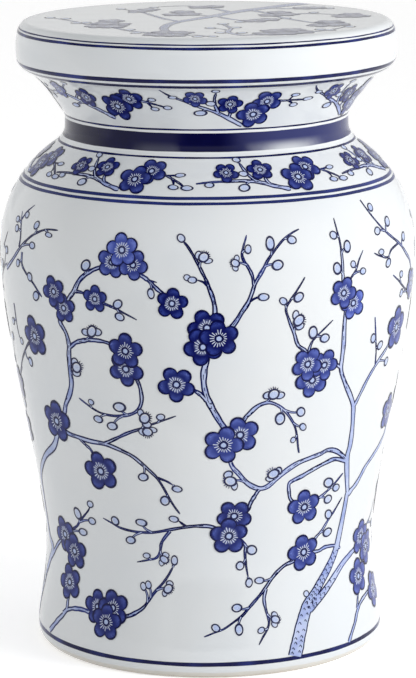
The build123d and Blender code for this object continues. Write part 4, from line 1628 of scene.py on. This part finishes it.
def studio_room(strength, wall):
    """Light all round: more from a wall on the right, from behind left and from the floor, less from above.

    The camera sees white. The glaze mirrors a dark corner where the camera stands.
    """
    f = Finish(bpy.data.worlds.new("studio room"))
    x, y, z = f.parts(f.node("ShaderNodeTexCoord")[0])
    camera, glossy, _ = f.light_path()
    low, high = z.step(-0.22, -0.28), z.step(-0.28, -0.22) * z.step(0.34, 0.12)
    low_corner = (x * -0.225 - y * 0.974).step(0.74, 0.86) * low
    high_corner = (y * -1.0).step(0.88, 0.94) * high
    dark = (low_corner + high_corner) * glossy
    behind_left = (y * 0.6 - x * 0.8).step(0.7, 0.95)
    overhead, floor = z.step(0.5, 0.95), z.step(-0.3, -0.9)
    around = 1.0 - 0.95 * dark + 0.8 * behind_left - 0.7 * overhead + 0.8 * floor
    light = strength * around + wall * x.step(0.2, 0.95)
    shown = light * (1.0 - camera) + camera
    sky = f.node("ShaderNodeBackground", None, {"Color": (1, 1, 1), "Strength": shown})[0]
    f.node("ShaderNodeOutputWorld", None, {"Surface": sky})
    return f.material


class STOOL_OT_stage(StoolStep):
    """Sets the floor, the lamps, the room and the camera"""

    bl_idname = "garden_stool.stage"
    bl_label = "Stage"

    def execute(self, context):
        scene, stage = context.scene, context.scene.stool_stage
        camera = Camera(stage)
        data = bpy.data.cameras.new("photo camera")
        data.sensor_fit, data.sensor_height = "VERTICAL", 24.0
        data.lens = stage.focal_pixels / PHOTO_HEIGHT * data.sensor_height
        scene.camera = bpy.data.objects.new("photo camera", data)
        scene.collection.objects.link(scene.camera)
        scene.camera.matrix_world = matrix(camera.right, camera.up, -camera.ahead, camera.place)

        paper_sheet("studio_floor", (-5, -0.4, 0), right=(10, 0, 0), up=(0, 13.5, 0), glow=0.50)
        paper_sheet("studio_backdrop", (-5, 7.5, 0.4), right=(10, 0, 0), up=(0, 0, 3.4), glow=0.26)

        middle = (0, 0, 0.25)
        for name, degrees, back, height, size, watts in (
            ("right softbox", 60, 2.4, 0.9, (1.0, 1.2), stage.key),
            ("left panel", -50, 1.9, 1.4, (1.0, 1.4), stage.fill),
        ):
            turn = math.radians(degrees)
            lamp(name, (back * math.sin(turn), -back * math.cos(turn), height), middle, size, watts)
        lamp("top softbox", (0.2, 0.5, 2.6), target=(0, 0, 0.3), size=(1.8, 1.8), watts=stage.top)
        scene.world = studio_room(stage.room, stage.wall)
        scene.view_settings.view_transform = "Standard"
        return {"FINISHED"}


class STOOL_PT_panel(bpy.types.Panel):
    """Lists the stool's steps and settings"""

    bl_label = "Garden Stool"
    bl_idname = "STOOL_PT_panel"
    bl_space_type = "VIEW_3D"
    bl_region_type = "UI"
    bl_category = "Garden Stool"

    def draw(self, context):
        for step in STEPS:
            self.layout.operator(step.bl_idname)
        for group in (context.scene.stool_form, context.scene.stool_paint, context.scene.stool_stage):
            box = self.layout.box()
            for key in group.__annotations__:
                box.prop(group, key)


STEPS = (
    STOOL_OT_sections,
    STOOL_OT_rings,
    STOOL_OT_body_painting,
    STOOL_OT_friezes,
    STOOL_OT_seat_painting,
    STOOL_OT_stage,
)
CLASSES = (StoolForm, StoolPaint, StoolStage, *STEPS, STOOL_PT_panel)


def register():
    for cls in CLASSES:
        bpy.utils.register_class(cls)
    bpy.types.Scene.stool_form = bpy.props.PointerProperty(type=StoolForm)
    bpy.types.Scene.stool_paint = bpy.props.PointerProperty(type=StoolPaint)
    bpy.types.Scene.stool_stage = bpy.props.PointerProperty(type=StoolStage)


def unregister():
    del bpy.types.Scene.stool_form, bpy.types.Scene.stool_paint, bpy.types.Scene.stool_stage
    for cls in reversed(CLASSES):
        bpy.utils.unregister_class(cls)


def main():
    register()
    bpy.ops.garden_stool.sections()
    bpy.ops.garden_stool.rings()
    bpy.ops.garden_stool.body_painting()
    bpy.ops.garden_stool.friezes()
    bpy.ops.garden_stool.seat_painting()
    bpy.ops.garden_stool.stage()


if __name__ == "__main__":
    main()
